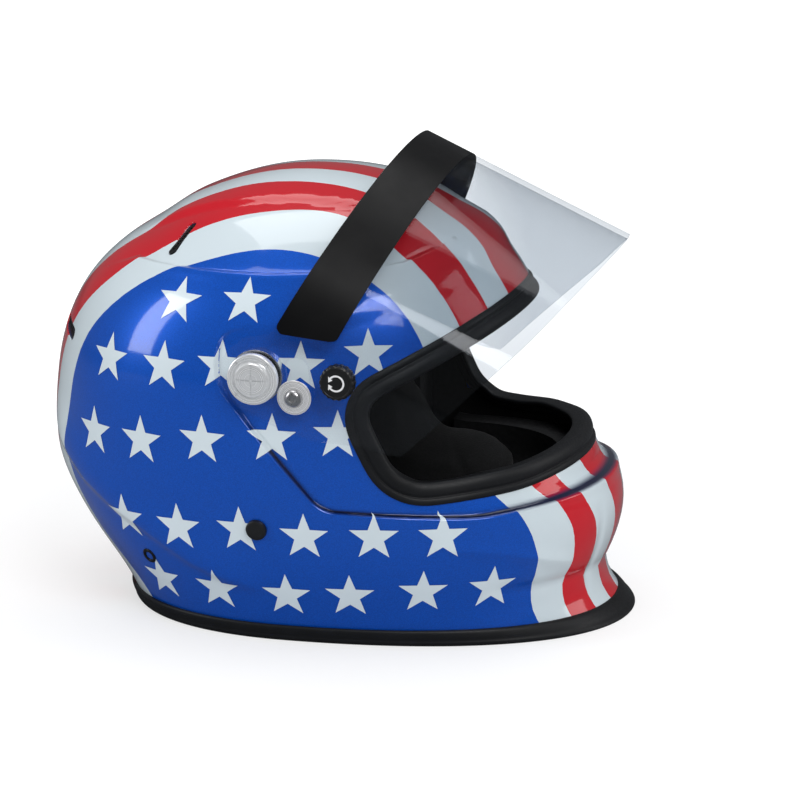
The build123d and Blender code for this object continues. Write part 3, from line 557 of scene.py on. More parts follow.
def knit_material(name, colour):
    """Brushed knit over foam: fine loops in rows with a soft sheen."""
    material, nt, shader = tree(name)
    both = maths(nt, "MULTIPLY", cells(nt, 900.0), grain(nt, 2200.0, 3.0))
    feed(nt, shader, {"Base Color": shades(nt, both, colour, 0.55, 1.5, 0.0, 0.5), "Roughness": 0.92,
                      "Sheen Weight": 0.08, "Sheen Roughness": 0.5})
    bump(nt, shader, both, 0.5, 0.0005)
    return material


def bead_material(name, colour):
    """Moulded bead foam: packed cells a few millimetres across."""
    material, nt, shader = tree(name)
    beads = cells(nt, 330.0, feature="SMOOTH_F1")
    feed(nt, shader, {"Base Color": shades(nt, beads, colour, 1.25, 0.6, 0.1), "Roughness": 0.8})
    bump(nt, shader, maths(nt, "SUBTRACT", 1.0, beads), 0.6, 0.0006)
    return material


def visor_material():
    """Hard coated sheet, clear at the arms and light grey in front: its faces mirror more at a slant."""
    material, nt, shader = tree("clear_sheet")
    slant = add(nt, "ShaderNodeLayerWeight", {"Blend": 0.5}).outputs["Facing"]
    forward = add(nt, "ShaderNodeSeparateXYZ", {0: on_object(nt)}).outputs["X"]
    depth = add(nt, "ShaderNodeMapRange", {"Value": forward, "From Min": 0.02,
                                           "From Max": 0.085}).outputs["Result"]
    haze = maths(nt, "MULTIPLY_ADD", grain(nt, 6.0, 2.0), 0.02, depth)
    tint = ramp(nt, haze, 0.05, (0.985, 0.987, 0.99), 0.95, (0.81, 0.83, 0.85))
    through = add(nt, "ShaderNodeBsdfTransparent", {"Color": tint}).outputs[0]
    amount = maths(nt, "MULTIPLY_ADD", maths(nt, "POWER", slant, 4.0), 0.18, 0.018)
    feed(nt, shader, {"Base Color": (0.95, 0.96, 0.98, 1), "Metallic": 1.0, "Roughness": 0.02})
    both = add(nt, "ShaderNodeMixShader", {0: amount, 1: through, 2: shader.outputs[0]})
    feed(nt, nt.nodes["Material Output"], {"Surface": both.outputs[0]})
    return material


paint = paint_material()
star_paint = star_material()
rubber = worn("black_rubber", (0.006, 0.0065, 0.008), 0.5, 900.0, relief=0.12, specular=0.35)
inner_paint = worn("inner_black", (0.006, 0.006, 0.0065), 0.7, 300.0)
foam = bead_material("bead_foam", (0.010, 0.010, 0.011))
knit = knit_material("liner_knit", (0.006, 0.006, 0.0065))
webbing = weave_material("strap_webbing", (0.012, 0.012, 0.013))
steel = worn("satin_steel", (0.55, 0.55, 0.56), 0.3, 700.0, metallic=1.0, relief=0.08)
dark_steel = worn("black_oxide", (0.03, 0.03, 0.032), 0.45, 700.0, metallic=0.8)
aluminium = worn("bright_aluminium", (0.78, 0.79, 0.8), 0.22, 900.0, vary=0.06, metallic=1.0,
                 relief=0.06)
plastic = worn("satin_plastic", (0.008, 0.008, 0.009), 0.38, 1200.0, relief=0.08)
film = worn("gloss_film", (0.003, 0.003, 0.0035), 0.4, 60.0, relief=0.02, specular=0.2)
mark = worn("printed_white", (0.75, 0.75, 0.76), 0.45, 500.0, vary=0.03, relief=0.03)
clear = visor_material()


def coat(piece, material):
    piece.data.materials.clear()
    piece.data.materials.append(material)


def dress(piece, material):
    coat(piece, material)
    return piece


# Painted shell
# Half widths of the stripes round the helmet, from the chin over the crown to the nape
ANGLES = (-45, -30, -18, -9, 34, 47, 64, 84, 100, 118, 134, 147, 158, 170, 185, 200, 215, 245)
EDGES = [
    (10, 11, 12, 22, 28, 26, 17, 12, 11, 12, 12, 12, 11, 11, 10, 10, 9, 9),
    (29, 31, 38, 51, 53.5, 50.5, 43.5, 36, 34, 35.5, 40, 41, 37, 34, 32, 31, 30, 30),
    (48, 50.5, 57, 70, 76.5, 74, 69.5, 61, 64, 68, 71, 69.5, 62, 56, 54, 52, 51, 50),
    (63, 70, 81, 90, 96.5, 94, 92, 88.5, 88, 90, 89.6, 87, 82, 78, 73, 69, 71, 79),
]


def stripe_value(p):
    """0 on the middle line, and 0.5, 1.5, 2.5 and 3.5 on the edges between the stripes."""
    angle = np.degrees(np.arctan2(p[..., 2] - 110, p[..., 0] + 5))
    angle = np.where(angle < -100, angle + 360, angle)
    y = np.abs(p[..., 1])
    edges = np.stack([spline(ANGLES, row)(angle) for row in EDGES], -1)
    knots = np.concatenate([np.zeros(edges.shape[:-1] + (1,)), edges], -1)
    values = (0, 0.5, 1.5, 2.5, 3.5)
    out = np.full(y.shape, 3.5)
    for k in range(4):
        a, b = knots[..., k], knots[..., k + 1]
        t = (y - a) / (b - a)
        out = np.where((y >= a) & (y < b), values[k] + t * (values[k + 1] - values[k]), out)
    return np.where(y >= knots[..., 4], 3.5 + (y - knots[..., 4]) / 25, out)


SKIN_UNDER_GASKET, INNER_UNDER_GASKET, INNER_INSET = 2.4, 6, 2.8
FORM_MIDDLE = np.array([-10, 0, 90.0])


def build_shell():
    """The painted skin, finer near its creases and edges, with a plain black skin inside it."""
    columns, rows = 176, 84
    bm = bmesh.new()
    qs = np.concatenate([np.linspace(1.0, 0.06, rows), [0.035, 0.012, 0.0]])
    us = np.linspace(0, 4, columns + 1)
    grid = [[bm.verts.new((u, q, 0)) for u in us] for q in qs]
    for i in range(len(qs) - 1):
        for j in range(columns):
            bm.faces.new((grid[i][j], grid[i][j + 1], grid[i + 1][j + 1], grid[i + 1][j]))
    for reach, longest in ((9.0, 2.6), (4.0, 1.4), (2.2, 0.75)):
        edges = list(bm.edges)
        uq = np.array([(*e.verts[0].co[:2], *e.verts[1].co[:2]) for e in edges])
        mid = ring((uq[:, 0] + uq[:, 2]) / 2, (uq[:, 1] + uq[:, 3]) / 2)
        ends = ring(uq[:, 2] - 1e-9, uq[:, 3]), ring(uq[:, 0] + 1e-9, uq[:, 1])
        length = np.linalg.norm(ends[0] - ends[1], axis=1)
        x, z = mid[:, 0], mid[:, 2]
        near = np.abs(side_distance(RECESS_LINE, x, z)) < reach
        near &= z < 190
        near |= np.abs(side_distance(EYEPORT, x, z)) < reach * 0.6
        near |= (np.abs(side_distance(SHELF, x, z, closed=False)) < reach * 0.8) & (x > -125) & (x < 72)
        near |= (np.abs(side_distance(RIDGE, x, z, closed=False)) < reach + 5) & (x < -5) & (longest > 1)
        near |= (np.abs(side_distance(CHIN_CREASE, x, z, closed=False)) < reach * 0.5) & (x > 70)
        near |= np.abs(vent_distance(mid)) < reach * 0.7
        picked = [e for e, n, ell in zip(edges, near, length) if n and ell > longest]
        bmesh.ops.subdivide_edges(bm, edges=picked, cuts=1, use_grid_fill=True)
    bmesh.ops.triangulate(bm, faces=[f for f in bm.faces if len(f.verts) > 4])
    bm.verts.ensure_lookup_table()
    uq = np.array([v.co[:2] for v in bm.verts])
    outer = ring(uq[:, 0], uq[:, 1])
    keep = side_distance(EYEPORT, outer[:, 0], outer[:, 2]) < SKIN_UNDER_GASKET
    bmesh.ops.delete(bm, geom=[v for v, k in zip(bm.verts, keep) if not k], context="VERTS")
    bm.verts.ensure_lookup_table()
    uq = np.array([v.co[:2] for v in bm.verts])
    points, normals = skin(uq[:, 0], uq[:, 1])
    outer = ring(uq[:, 0], uq[:, 1])
    stripe = stripe_value(outer)
    # slot_depth: where the vent slots get their painted shade
    depth = smooth(-0.6, 0.4, vent_distance(outer))
    faces = [[v.index for v in f.verts] for f in bm.faces]
    bm.free()
    iu, iq = np.meshgrid(np.linspace(0, 4, 120, endpoint=False), np.sqrt(np.linspace(1, 0.0005, 60)))
    inner = ring(iu, iq, inset=INNER_INSET, seat=1.0)
    flat = inner.reshape(-1, 3)
    inner_in = side_distance(EYEPORT, flat[:, 0], flat[:, 2]) < INNER_UNDER_GASKET
    start = len(points)
    inner_faces = [tuple(start + k for k in f) for f in grid_faces(60, 120, wrap_cols=True, flip=True)
                   if all(inner_in[k] for k in f)]
    piece = mesh_object("shell_skin", np.concatenate([points, flat]), faces + inner_faces, None)
    mesh = piece.data
    # seam: where the recess groove gets its painted shade
    in_seam = seam(outer[:, 0], outer[:, 2])
    for name, values, inside in (("stripe", stripe, 4.0), ("slot_depth", depth, 0), ("seam", in_seam, 0)):
        layer = mesh.attributes.new(name, "FLOAT", "POINT")
        values = np.concatenate([values, np.full(len(flat), inside)])
        layer.data.foreach_set("value", values.astype(np.float32))
    mesh.materials.append(paint)
    mesh.materials.append(inner_paint)
    for poly in mesh.polygons:
        poly.material_index = 1 if min(poly.vertices) >= start else 0
    normals = np.concatenate([normals, unit(FORM_MIDDLE - flat)])
    mesh.normals_split_custom_set_from_vertices(normals.tolist())
    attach(piece, "helmet")
    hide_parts("shell")


build_shell()

# Stars: (x, z) of each centre in the side view, the same on both sides
STARS = [
    (-68.1, 189.2), (-28.8, 191.9), (-109.8, 153.5), (-74.4, 154.4), (-40.3, 157.9), (4.1, 159.4),
    (40.2, 166.3), (-120.6, 110.3), (-88.4, 111.2), (-50.6, 116.2), (-11.1, 119.6), (25.2, 122.7),
    (-100.6, 64.1), (-66.8, 64.1), (-30.1, 66.4), (5.9, 65.0), (43.8, 66.0), (79.7, 66.3),
    (-82.8, 27.6), (-46.8, 28.1), (-6.4, 28.3), (28.7, 29.9), (67.8, 32.9), (102.8, 33.7),
]
STAR_RADIUS, STAR_WAIST, STAR_LIFT = 14.2, 0.40, 0.2


def star_grid():
    """A five-pointed star as a fine triangle mesh: flat points and faces."""
    bm = bmesh.new()
    tips = []
    for k in range(10):
        r = STAR_RADIUS * (1.0 if k % 2 == 0 else STAR_WAIST)
        w = math.pi / 2 + k * math.pi / 5
        tips.append(bm.verts.new((r * math.cos(w), r * math.sin(w), 0)))
    middle = bm.verts.new((0, 0, 0))
    for k in range(10):
        bm.faces.new((middle, tips[k], tips[(k + 1) % 10]))
    for _ in range(4):
        bmesh.ops.subdivide_edges(bm, edges=[e for e in bm.edges if e.calc_length() > 0.8], cuts=1,
                                  use_grid_fill=True)
    bmesh.ops.triangulate(bm, faces=bm.faces)
    bm.verts.ensure_lookup_table()
    flat = np.array([v.co[:2] for v in bm.verts])
    faces = [tuple(v.index for v in f.verts) for f in bm.faces]
    bm.free()
    return flat, faces


def wrap(flat, u0, q0, lift):
    """Lays flat points on the skin about one centre, keeping their size."""
    e, f = 2e-3, 1e-3
    centre = ring(u0, q0)
    du = (ring(u0 + e, q0) - ring(u0 - e, q0)) / (2 * e)
    dq = (ring(u0, q0 + f) - ring(u0, q0 - f)) / (2 * f)
    n = unit(np.cross(dq, du))
    if n @ (centre - np.array([-10, 0, 110])) < 0:
        n = -n
    up = unit(np.array([0, 0, 1.0]) - n * n[2])
    across = np.cross(up, n)
    u, q = np.full(len(flat), float(u0)), np.full(len(flat), float(q0))
    for _ in range(7):
        p = ring(u, q)
        err = np.stack([(p - centre) @ across - flat[:, 0], (p - centre) @ up - flat[:, 1]], -1)
        pu = (ring(u + e, q) - p) / e
        pq = (ring(u, q + f) - p) / f
        a, b, c, d = pu @ across, pq @ across, pu @ up, pq @ up
        det = a * d - b * c
        u -= (d * err[:, 0] - b * err[:, 1]) / det
        q -= (a * err[:, 1] - c * err[:, 0]) / det
        q = np.clip(q, 0.02, 0.999)
    return skin(u, q, lift)


def build_stars():
    """The stars of each side as one thin mesh laid on the skin."""
    flat, faces = star_grid()
    for side, name in SIDES:
        points, normals, all_faces = [], [], []
        for x, z in STARS:
            u0, q0 = find(x, z, side)
            p, n = wrap(flat, float(u0), float(q0), STAR_LIFT)
            base = sum(len(k) for k in points)
            points.append(p)
            normals.append(n)
            all_faces += [tuple(base + k for k in f) for f in faces]
        piece = mesh_object(f"paint_stars_{name}", np.concatenate(points), all_faces, "helmet",
                            np.concatenate(normals))
        dress(piece, star_paint)


build_stars()


# Rubber: eyeport gasket and base trim
def eyeport_path():
    """The eyeport's edge on the seat as a closed loop of points."""
    far_corner = int(np.argmin(np.hypot(EYEPORT[:, 0] - 190, EYEPORT[:, 1] - 104.8)))
    line = np.roll(EYEPORT, -far_corner, 0)
    dense = []
    for a, b in zip(line, np.roll(line, -1, 0)):
        dense += [a + (b - a) * k / 40 for k in range(40)]
    dense = np.array(dense)
    q = np.sqrt(np.clip(1 - dense[:, 1] / HEIGHT, 1e-6, 1))
    limit = section(q)[:, 1] - seat_insets(q)[1]
    idx = np.nonzero((dense[:, 0] < limit) & (dense[:, 1] < 240))[0]
    part = dense[idx]
    if np.any(np.diff(idx) > 1):
        cut = int(np.argmax(np.diff(idx))) + 1
        part = np.concatenate([part[cut:], part[:cut]])
    u, qq = find_seat(part[:, 0], part[:, 1])
    p = ring(u, qq, seat=1.0)
    first, last = p[0].copy(), p[-1].copy()
    first[1] = last[1] = 0.0
    p = np.concatenate([[first], p, [last]])
    return np.concatenate([p, (p * (1, -1, 1))[::-1][1:-1]])


def find_seat(x, z):
    """(u, q) of the seat form's point on the left side at x and z."""
    q = np.sqrt(np.clip(1 - z / HEIGHT, 1e-6, 1))
    return round_place(x, q, section(q)[..., 3], 34, seat=1.0), q


def blend(v):
    """Each entry of a closed loop averaged with its neighbours."""
    return (np.roll(v, 1, 0) + 2 * v + np.roll(v, -1, 0)) / 4


def resample(loop, step, rounds):
    """Even spacing along a closed loop, with light smoothing."""
    closed = np.concatenate([loop, loop[:1]])
    s = np.concatenate([[0], np.cumsum(np.linalg.norm(np.diff(closed, axis=0), axis=1))])
    at = np.linspace(0, s[-1], int(s[-1] / step), endpoint=False)
    out = np.stack([np.interp(at, s, closed[:, k]) for k in range(3)], -1)
    for _ in range(rounds):
        out = blend(out)
    return out


def seat_normal(p):
    """Outward normal of the seat form near a point of it."""
    q = np.sqrt(np.clip(1 - p[:, 2] / HEIGHT, 1e-6, 1))
    u, _ = find_seat(p[:, 0], p[:, 2])
    e = 2e-3
    u = np.clip(u, 0.004, 1.99)
    du = ring(u + e, q, seat=1.0) - ring(u - e, q, seat=1.0)
    dq = ring(u, q - e, seat=1.0) - ring(u, q + e, seat=1.0)
    n = unit(np.cross(du, dq))
    n[:, 1] = np.where(p[:, 1] < 0, -n[:, 1], n[:, 1])
    return n


def smooth_loop(v, rounds):
    for _ in range(rounds):
        v = unit(blend(v))
    return v


def rounded(profile, per=4):
    """A closed profile of (b, n) pairs made into a smooth one."""
    p = np.array(profile, float)
    n = len(p)
    out = []
    for i in range(n):
        p0, p1, p2, p3 = p[i - 1], p[i], p[(i + 1) % n], p[(i + 2) % n]
        for k in range(per):
            t = k / per
            out.append(0.5 * (2 * p1 + (p2 - p0) * t + (2 * p0 - 5 * p1 + 4 * p2 - p3) * t * t
                              + (3 * p1 - p0 - 3 * p2 + p3) * t**3))
    return np.array(out)


def build_gasket():
    """The thick rubber round the eyeport: one profile carried round its edge."""
    loop = resample(eyeport_path(), 2.4, 6)
    normal = smooth_loop(seat_normal(loop), 5)
    outward = unit(np.cross(unit(np.roll(loop, -1, 0) - np.roll(loop, 1, 0)), normal))
    if np.mean(np.sum(outward * (loop - loop.mean(0)), 1)) < 0:
        outward = -outward
    profile = rounded([
        (0.2, -1.2), (0.9, 0.2), (0.6, 0.9), (-0.9, 1.3), (-2.4, 1.1), (-3.1, 0.5), (-3.9, 0.6), (-5.0, 1.3),
        (-7.4, 1.6), (-9.6, 1.2), (-11.2, 0.2), (-11.9, -1.5), (-12.0, -5.0), (-11.7, -9.0), (-9.5, -9.2),
        (-8.8, -6.0), (-6.0, -4.5), (-3.0, -4.2)])
    points = np.stack([loop + outward * b + normal * n for b, n in profile], 1)
    piece = mesh_object("gasket_rubber", points, grid_faces(len(loop), len(profile), True, True), "helmet")
    crease_by_angle(piece, 60)
    dress(piece, rubber)
    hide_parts("eyeport_gasket")


def build_trim():
    """The rubber channel over the shell's lower edge."""
    profile = rounded([
        (-5.6, 0.6), (-5.7, 4.0), (-5.4, 7.8), (-4.2, 8.7), (-3.1, 7.6), (-1.5, 7.2), (-0.1, 8.9), (1.2, 9.0),
        (2.2, 7.9), (2.6, 5.6), (2.6, 3.4), (2.9, 2.0), (2.3, 0.25), (0.2, 0.0), (-3.6, 0.0)])
    us = np.linspace(0, 4, 260, endpoint=False)
    rows = []
    for out, z in profile:
        z = max(z, 0.0)
        edge = ring(us, np.full_like(us, math.sqrt(1 - z / HEIGHT)), inset=-out)
        rows.append(edge * (1, 1, 0) + (0, 0, z))
    faces = grid_faces(len(us), len(profile), True, True)
    piece = mesh_object("trim_rubber", np.stack(rows, 1), faces, "helmet")
    crease_by_angle(piece, 60)
    dress(piece, rubber)
    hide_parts("base_trim")


build_gasket()
build_trim()


# Visor
# Its pivot, its frame when raised, and the sheet's half width, depth, arm rise and corner radius
PIVOT = np.array([-19.2, 0.0, 154.4])
TILT = math.radians(-24.6)
ALONG = np.array([math.cos(TILT), 0, math.sin(TILT)])
RISE = np.array([-math.sin(TILT), 0, math.cos(TILT)])
HALF_SHEET, CROWN_AT, ARM_RISE, CORNER = 128.4, 126.5, 20.0, 85.0
ARM_END, DETENT_REACH, FITTING_BASE, KNOB_BASE = 20.3, 24.2, 128.5, 129.3
ARC_SIDE = HALF_SHEET - CORNER
ARC_RISE = CROWN_AT - ARM_RISE
CROWN_R = (ARC_SIDE**2 + ARC_RISE**2 - CORNER**2) / (2 * (ARC_RISE - CORNER))
CROWN_C = CROWN_AT - CROWN_R
BEND = math.atan2(ARM_RISE - CROWN_C, ARC_SIDE)


def bow(t):
    """The sheet's cross section: t from 0 at the right arm's lower end to 1 on the crown, as the
    place and outward direction in the (side, rise) plane."""
    low = -ARM_END
    straight = ARM_RISE - low
    arc_a, arc_b = CORNER * BEND, CROWN_R * (math.pi / 2 - BEND)
    s = t * (straight + arc_a + arc_b)
    if s < straight:
        return (HALF_SHEET, low + s), (1.0, 0.0)
    if s < straight + arc_a:
        w, x, y, r = (s - straight) / CORNER, ARC_SIDE, ARM_RISE, CORNER
    else:
        w, x, y, r = BEND + (s - straight - arc_a) / CROWN_R, 0.0, CROWN_C, CROWN_R
    c, d = math.cos(w), math.sin(w)
    return (x + r * c, y + r * d), (c, d)


VISOR_LINE = fillet([(0.0, -20.7), (37.7, -19.0), (65.3, -7.8), (89.2, -2.8), (122.5, 82.2), (140.3, 137.8),
                     (7.6, 137.8), (-1.5, 27.1), (-20.6, 0.0)],
                    [0.0, 37.9, 25.3, 5.1, 75.9, 0.0, 0.0, 15.2, 0.0], 0.5)


def span_at(outline, n):
    """The outline's lowest and highest reach along the ruling at one rise."""
    hits = []
    for a, b in zip(outline, np.roll(outline, -1, 0)):
        if (a[1] > n) != (b[1] > n):
            hits.append(a[0] + (n - a[1]) * (b[0] - a[0]) / (b[1] - a[1]))
    return (min(hits), max(hits)) if hits else None


def arm_span(n):
    """The visor's reach at one rise, with its round arm end."""
    low, high = span_at(VISOR_LINE, n)
    if -ARM_END < n < 12:
        low = -math.sqrt(max(ARM_END**2 - n * n, 0.0))
    elif 12 < n < 26.5:
        w = smooth(12, 26.5, n)
        low = (1 - w) * -math.sqrt(ARM_END**2 - 12.0**2) + w * low
    return low, high


def sheet_piece(name, thickness, outset, spans, levels, first=0.004):
    """A closed bent sheet on both sides of the middle, from a reach function of the rise."""
    ts = np.linspace(first, 1.0, levels)
    ts = np.concatenate([ts, 2 - ts[::-1][1:]])
    cols = 40
    outer, inner = [], []
    for t in ts:
        (y, n), (cy, cn) = bow(t if t <= 1 else 2 - t)
        sign = -1.0 if t <= 1 else 1.0
        low, high = spans(n)
        w = np.linspace(0, 1, cols)
        w = w - np.sin(2 * math.pi * w) / (2 * math.pi) * 0.6
        d = low + (high - low) * w
        direction = np.array([0, sign * cy, 0]) + RISE * cn
        base = PIVOT + d[:, None] * ALONG + np.array([0, sign * y, 0]) + RISE * n
        outer.append(base + direction * outset)
        inner.append(base + direction * (outset - thickness))
    outer, inner = np.array(outer), np.array(inner)
    rows = len(ts)
    points = np.concatenate([outer.reshape(-1, 3), inner.reshape(-1, 3)])
    k = rows * cols
    face = grid_faces(rows, cols)
    faces = face + [tuple(k + i for i in f[::-1]) for f in face]
    rim = [i * cols for i in range(rows)] + [(rows - 1) * cols + j for j in range(1, cols)]
    rim += [i * cols + cols - 1 for i in range(rows - 2, -1, -1)] + [j for j in range(cols - 2, 0, -1)]
    for a, b in zip(rim, rim[1:] + rim[:1]):
        faces.append((a, b, k + b, k + a))
    return crease_by_angle(mesh_object(name, points, faces, None), 35)


def cut(piece, cutter):
    modify(piece, "BOOLEAN", operation="DIFFERENCE", object=cutter, solver="EXACT")
    bpy.data.objects.remove(cutter)


def side_prism(outline, y0, y1):
    """A prism across the helmet from an outline in the visor's (along, rise) plane."""
    n = len(outline)
    rows = []
    for y in (y0, y1):
        rows += [PIVOT + p[0] * ALONG + p[1] * RISE + np.array([0, y, 0]) for p in outline]
    faces = [tuple(range(n))[::-1], tuple(range(n, 2 * n))]
    faces += [(i, (i + 1) % n, n + (i + 1) % n, n + i) for i in range(n)]
    piece = mesh_object("cutter", rows, faces, None, smooth_faces=False)
    return edit(piece, lambda bm: bmesh.ops.recalc_face_normals(bm, faces=bm.faces))


def arc(radius, start, end, count, centre=(0, 0)):
    """Points on an arc, as (along, rise) pairs."""
    return [(centre[0] + radius * math.cos(w), centre[1] + radius * math.sin(w))
            for w in np.linspace(start, end, count)]


def build_visor():
    visor = sheet_piece("visor_sheet", 3.0, 0.0, arm_span, 90)
    # The curved slot of the detent post, then the pivot's hole
    start, end, half, hole_radius = math.radians(0.6), math.radians(0.6) + math.radians(38.0), 6.35, 8.05
    slot_line = arc(DETENT_REACH + half, start, end, 24)
    slot_line += arc(half, end, end + math.pi, 14, arc(DETENT_REACH, end, end, 1)[0])[1:-1]
    slot_line += arc(DETENT_REACH - half, end, start, 24)
    slot_line += arc(half, start + math.pi, start + 2 * math.pi, 14,
                     arc(DETENT_REACH, start, start, 1)[0])[1:-1]
    hole = arc(hole_radius, 0, 2 * math.pi, 41)[:-1]
    for outline in (slot_line, hole):
        for y0, y1 in ((-135, -120), (120, 135)):
            cut(visor, side_prism(outline, y0, y1))
    crease_by_angle(visor, 35)
    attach(visor, "visor")
    dress(visor, clear)
    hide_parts("visor")

    line = fillet([(-1.3, 27.1), (7.8, 137.8), (36.3, 137.8), (31.6, 37.9)], [3.8, 0, 0, 3.8], 0.5)
    low = line[:, 1].min() + 0.05
    t0 = next(t for t in np.linspace(0, 1, 4000) if bow(t)[0][1] > low)
    strip = sheet_piece("shade_film", 0.3, 0.45, lambda n: span_at(line, max(n, low)), 110, t0)
    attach(strip, "visor")
    dress(strip, film)
    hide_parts("shade_strip")


build_visor()


# Fittings
def build_fittings():
    """Pivot knobs, cone washers and button head screws."""
    for side, name in SIDES:
        axis = (0, side, 0)
        base = np.array([PIVOT[0], side * KNOB_BASE, PIVOT[2]])
        bright = turned_material(f"turned_knob_{name}", (0.95, 0.96, 0.97), 0.22, base)
        knob = lathe(f"visor_screw_{name}", [
            (0.0, 0.0), (13.2, 0.0), (13.9, 0.5), (14.0, 1.2), (14.0, 3.4), (13.7, 4.1), (13.0, 4.5),
            (12.2, 4.6), (11.0, 4.6), (10.6, 4.4), (10.4, 3.9), (10.0, 3.7), (9.7, 3.9), (9.5, 4.5),
            (9.2, 5.3), (8.7, 5.8), (7.5, 6.15), (6.0, 6.3), (4.0, 6.4), (2.0, 6.42),
            (0.0, 6.42)], base, axis, "helmet", 128)
        dress(knob, bright)
        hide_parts(f"pivot_knob_{name}")
        add_knob_cuts(knob, base, side)

        angle = math.radians(-23)
        reach = DETENT_REACH * math.cos(angle), DETENT_REACH * math.sin(angle)
        at = np.array([PIVOT[0] + reach[0], side * FITTING_BASE, PIVOT[2] + reach[1]])
        cone = turned_material(f"turned_washer_{name}", (0.93, 0.93, 0.94), 0.25, at, 2600.0)
        washer = lathe(f"cone_washer_{name}", [
            (2.1, 0.0), (8.9, 0.0), (9.4, 0.25), (9.5, 0.7), (9.2, 1.05), (8.6, 1.25), (5.9, 2.1),
            (5.3, 2.25), (4.9, 2.0), (2.1, 2.0)], at, axis, "helmet", 96)
        dress(washer, cone)
        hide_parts(f"detent_washer_{name}")
        screw = lathe(f"button_screw_{name}", [
            (0.0, 1.2), (1.62, 1.2), (1.66, 2.6), (1.9, 2.75), (2.6, 2.65), (3.6, 2.25), (4.3, 1.55),
            (4.6, 0.7), (4.6, 0.1), (4.4, 0.0),
            (0.0, 0.0)], at + np.array([0, side * 2.2, 0]), axis, "helmet", 72,
            lambda w, r, h: -0.10 * abs(math.sin(3 * w)) if r < 1.7 and h > 1.0 else 0.0)
        dress(screw, steel)
        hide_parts(f"detent_screw_{name}")


def add_knob_cuts(knob, base, side):
    """Cross cuts in the disc and small pin holes in the rim."""
    bm = bmesh.new()
    for across in ((1, 0), (0, 1)):
        for sign in (1, -1):
            m = base + np.array([across[0] * sign * 4.6, 0, across[1] * sign * 4.6])
            sx, sz = (3.9, 0.38) if across[0] else (0.38, 3.9)
            bmesh.ops.create_cube(bm, size=1.0)
            fresh = bm.verts[-8:]
            for v in fresh:
                v.co = Vector((m[0] + v.co.x * 2 * sx, base[1] + side * 6.4 + v.co.y * 1.4,
                               m[2] + v.co.z * 2 * sz)) * MM
    for k in range(4):
        w = math.radians(45 + 90 * k)
        made = bmesh.ops.create_cone(bm, cap_ends=True, segments=20, radius1=0.85 * MM,
                                     radius2=0.85 * MM, depth=1.6 * MM)
        pin = (base + np.array([12.0 * math.cos(w), side * 4.6, 12.0 * math.sin(w)])) * MM
        for v in made["verts"]:
            v.co = Vector((v.co.x, v.co.z, v.co.y)) + Vector(tuple(pin))
    mesh = bpy.data.meshes.new("cutter")
    bmesh.ops.recalc_face_normals(bm, faces=bm.faces)
    bm.to_mesh(mesh)
    bm.free()
    cutter = bpy.data.objects.new("cutter", mesh)
    bpy.context.collection.objects.link(cutter)
    cut(knob, cutter)
    crease_by_angle(knob, 28)


build_fittings()


def build_lock():
    """The lock knob on the visor's right arm, with its turn mark."""
    at = PIVOT + 42.2 * ALONG + 20.6 * RISE
    base = np.array([at[0], -FITTING_BASE, at[2]])
    knob = lathe("lock_dial", [
        (0.0, 0.0), (9.2, 0.0), (9.6, 0.4), (9.6, 5.2), (9.3, 6.1), (8.6, 6.7), (7.9, 6.9), (7.6, 6.6),
        (0.0, 6.6)], base, (0, -1, 0), "visor_lock", 216,
        lambda w, r, h: -0.045 * (0.5 + 0.5 * math.cos(18 * w))**2 if r > 9.0 and h > 0.3 else 0.0)
    dress(knob, plastic)
    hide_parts("lock_knob")
    # The turn mark: one round arrow with a head at each end, open at the back
    steps, reach = 40, math.radians(138)
    rows = []
    for k in range(steps + 1):
        w = -reach + 2 * reach * k / steps
        rows += [arc(r, w, w, 1)[0] for r in (3.6, 4.6)]
    faces = [(2 * k, 2 * k + 1, 2 * k + 3, 2 * k + 2) for k in range(steps)]
    for turn in (1, -1):
        w = turn * reach
        tip = len(rows)
        rows += arc(2.5, w, w, 1) + arc(5.7, w, w, 1) + arc(4.2, w + turn * 0.6, w, 1)
        faces.append((tip, tip + 1, tip + 2))
    points = [base + np.array([a, -6.66, b]) for a, b in rows]
    arrows = mesh_object("lock_mark", points, faces, "visor_lock", smooth_faces=False)
    dress(arrows, mark)


build_lock()


def skin_at(x, z, side):
    """The skin's point and normal at x and z on one side."""
    u, q = find(x, z, side)
    p, n = skin(np.array([float(u)]), np.array([float(q)]))
    return p[0], n[0]


def build_small_fittings():
    """Strap rivet caps, and the tether inserts with their threads as fine rings."""
    for side, name in SIDES:
        cap = lathe(f"rivet_cap_{name}", [
            (0.0, -1.0), (5.7, -1.0), (5.9, 0.2), (5.9, 1.2), (5.6, 1.9), (5.0, 2.3), (4.2, 2.5), (0.0, 2.6)],
            *skin_at(-20.5, 67.6, side), "helmet", 72)
        dress(cap, plastic)
        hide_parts(f"strap_cap_{name}")
        thread = [(2.62 if k % 2 else 2.5, -8.6 + 0.4 * k) for k in range(21)]
        insert = lathe(f"tether_sleeve_{name}", [
            (0.0, -9.4), (2.45, -9.2), *thread, (2.6, 0.2), (2.9, 0.6), (3.4, 0.8), (4.2, 0.7), (4.6, 0.3),
            (4.7, -0.2), (3.7, -0.6), (3.7, -11.0), (0.0, -11.0)],
            *skin_at(-89.3, 40.7, side), "helmet", 64)
        dress(insert, dark_steel)
        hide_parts(f"tether_insert_{name}")


build_small_fittings()


# Padding, webbing and foam
CLOTH_FRAMES = 20


def coords_of(piece):
    co = np.empty(len(piece.data.vertices) * 3)
    piece.data.vertices.foreach_get("co", co)
    return co.reshape(-1, 3) / MM


def normals_of(piece):
    piece.data.update()
    no = np.empty(len(piece.data.vertices) * 3)
    piece.data.vertices.foreach_get("normal", no)
    return no.reshape(-1, 3)


def put(piece, co):
    piece.data.vertices.foreach_set("co", (co * MM).reshape(-1))
    piece.data.update()


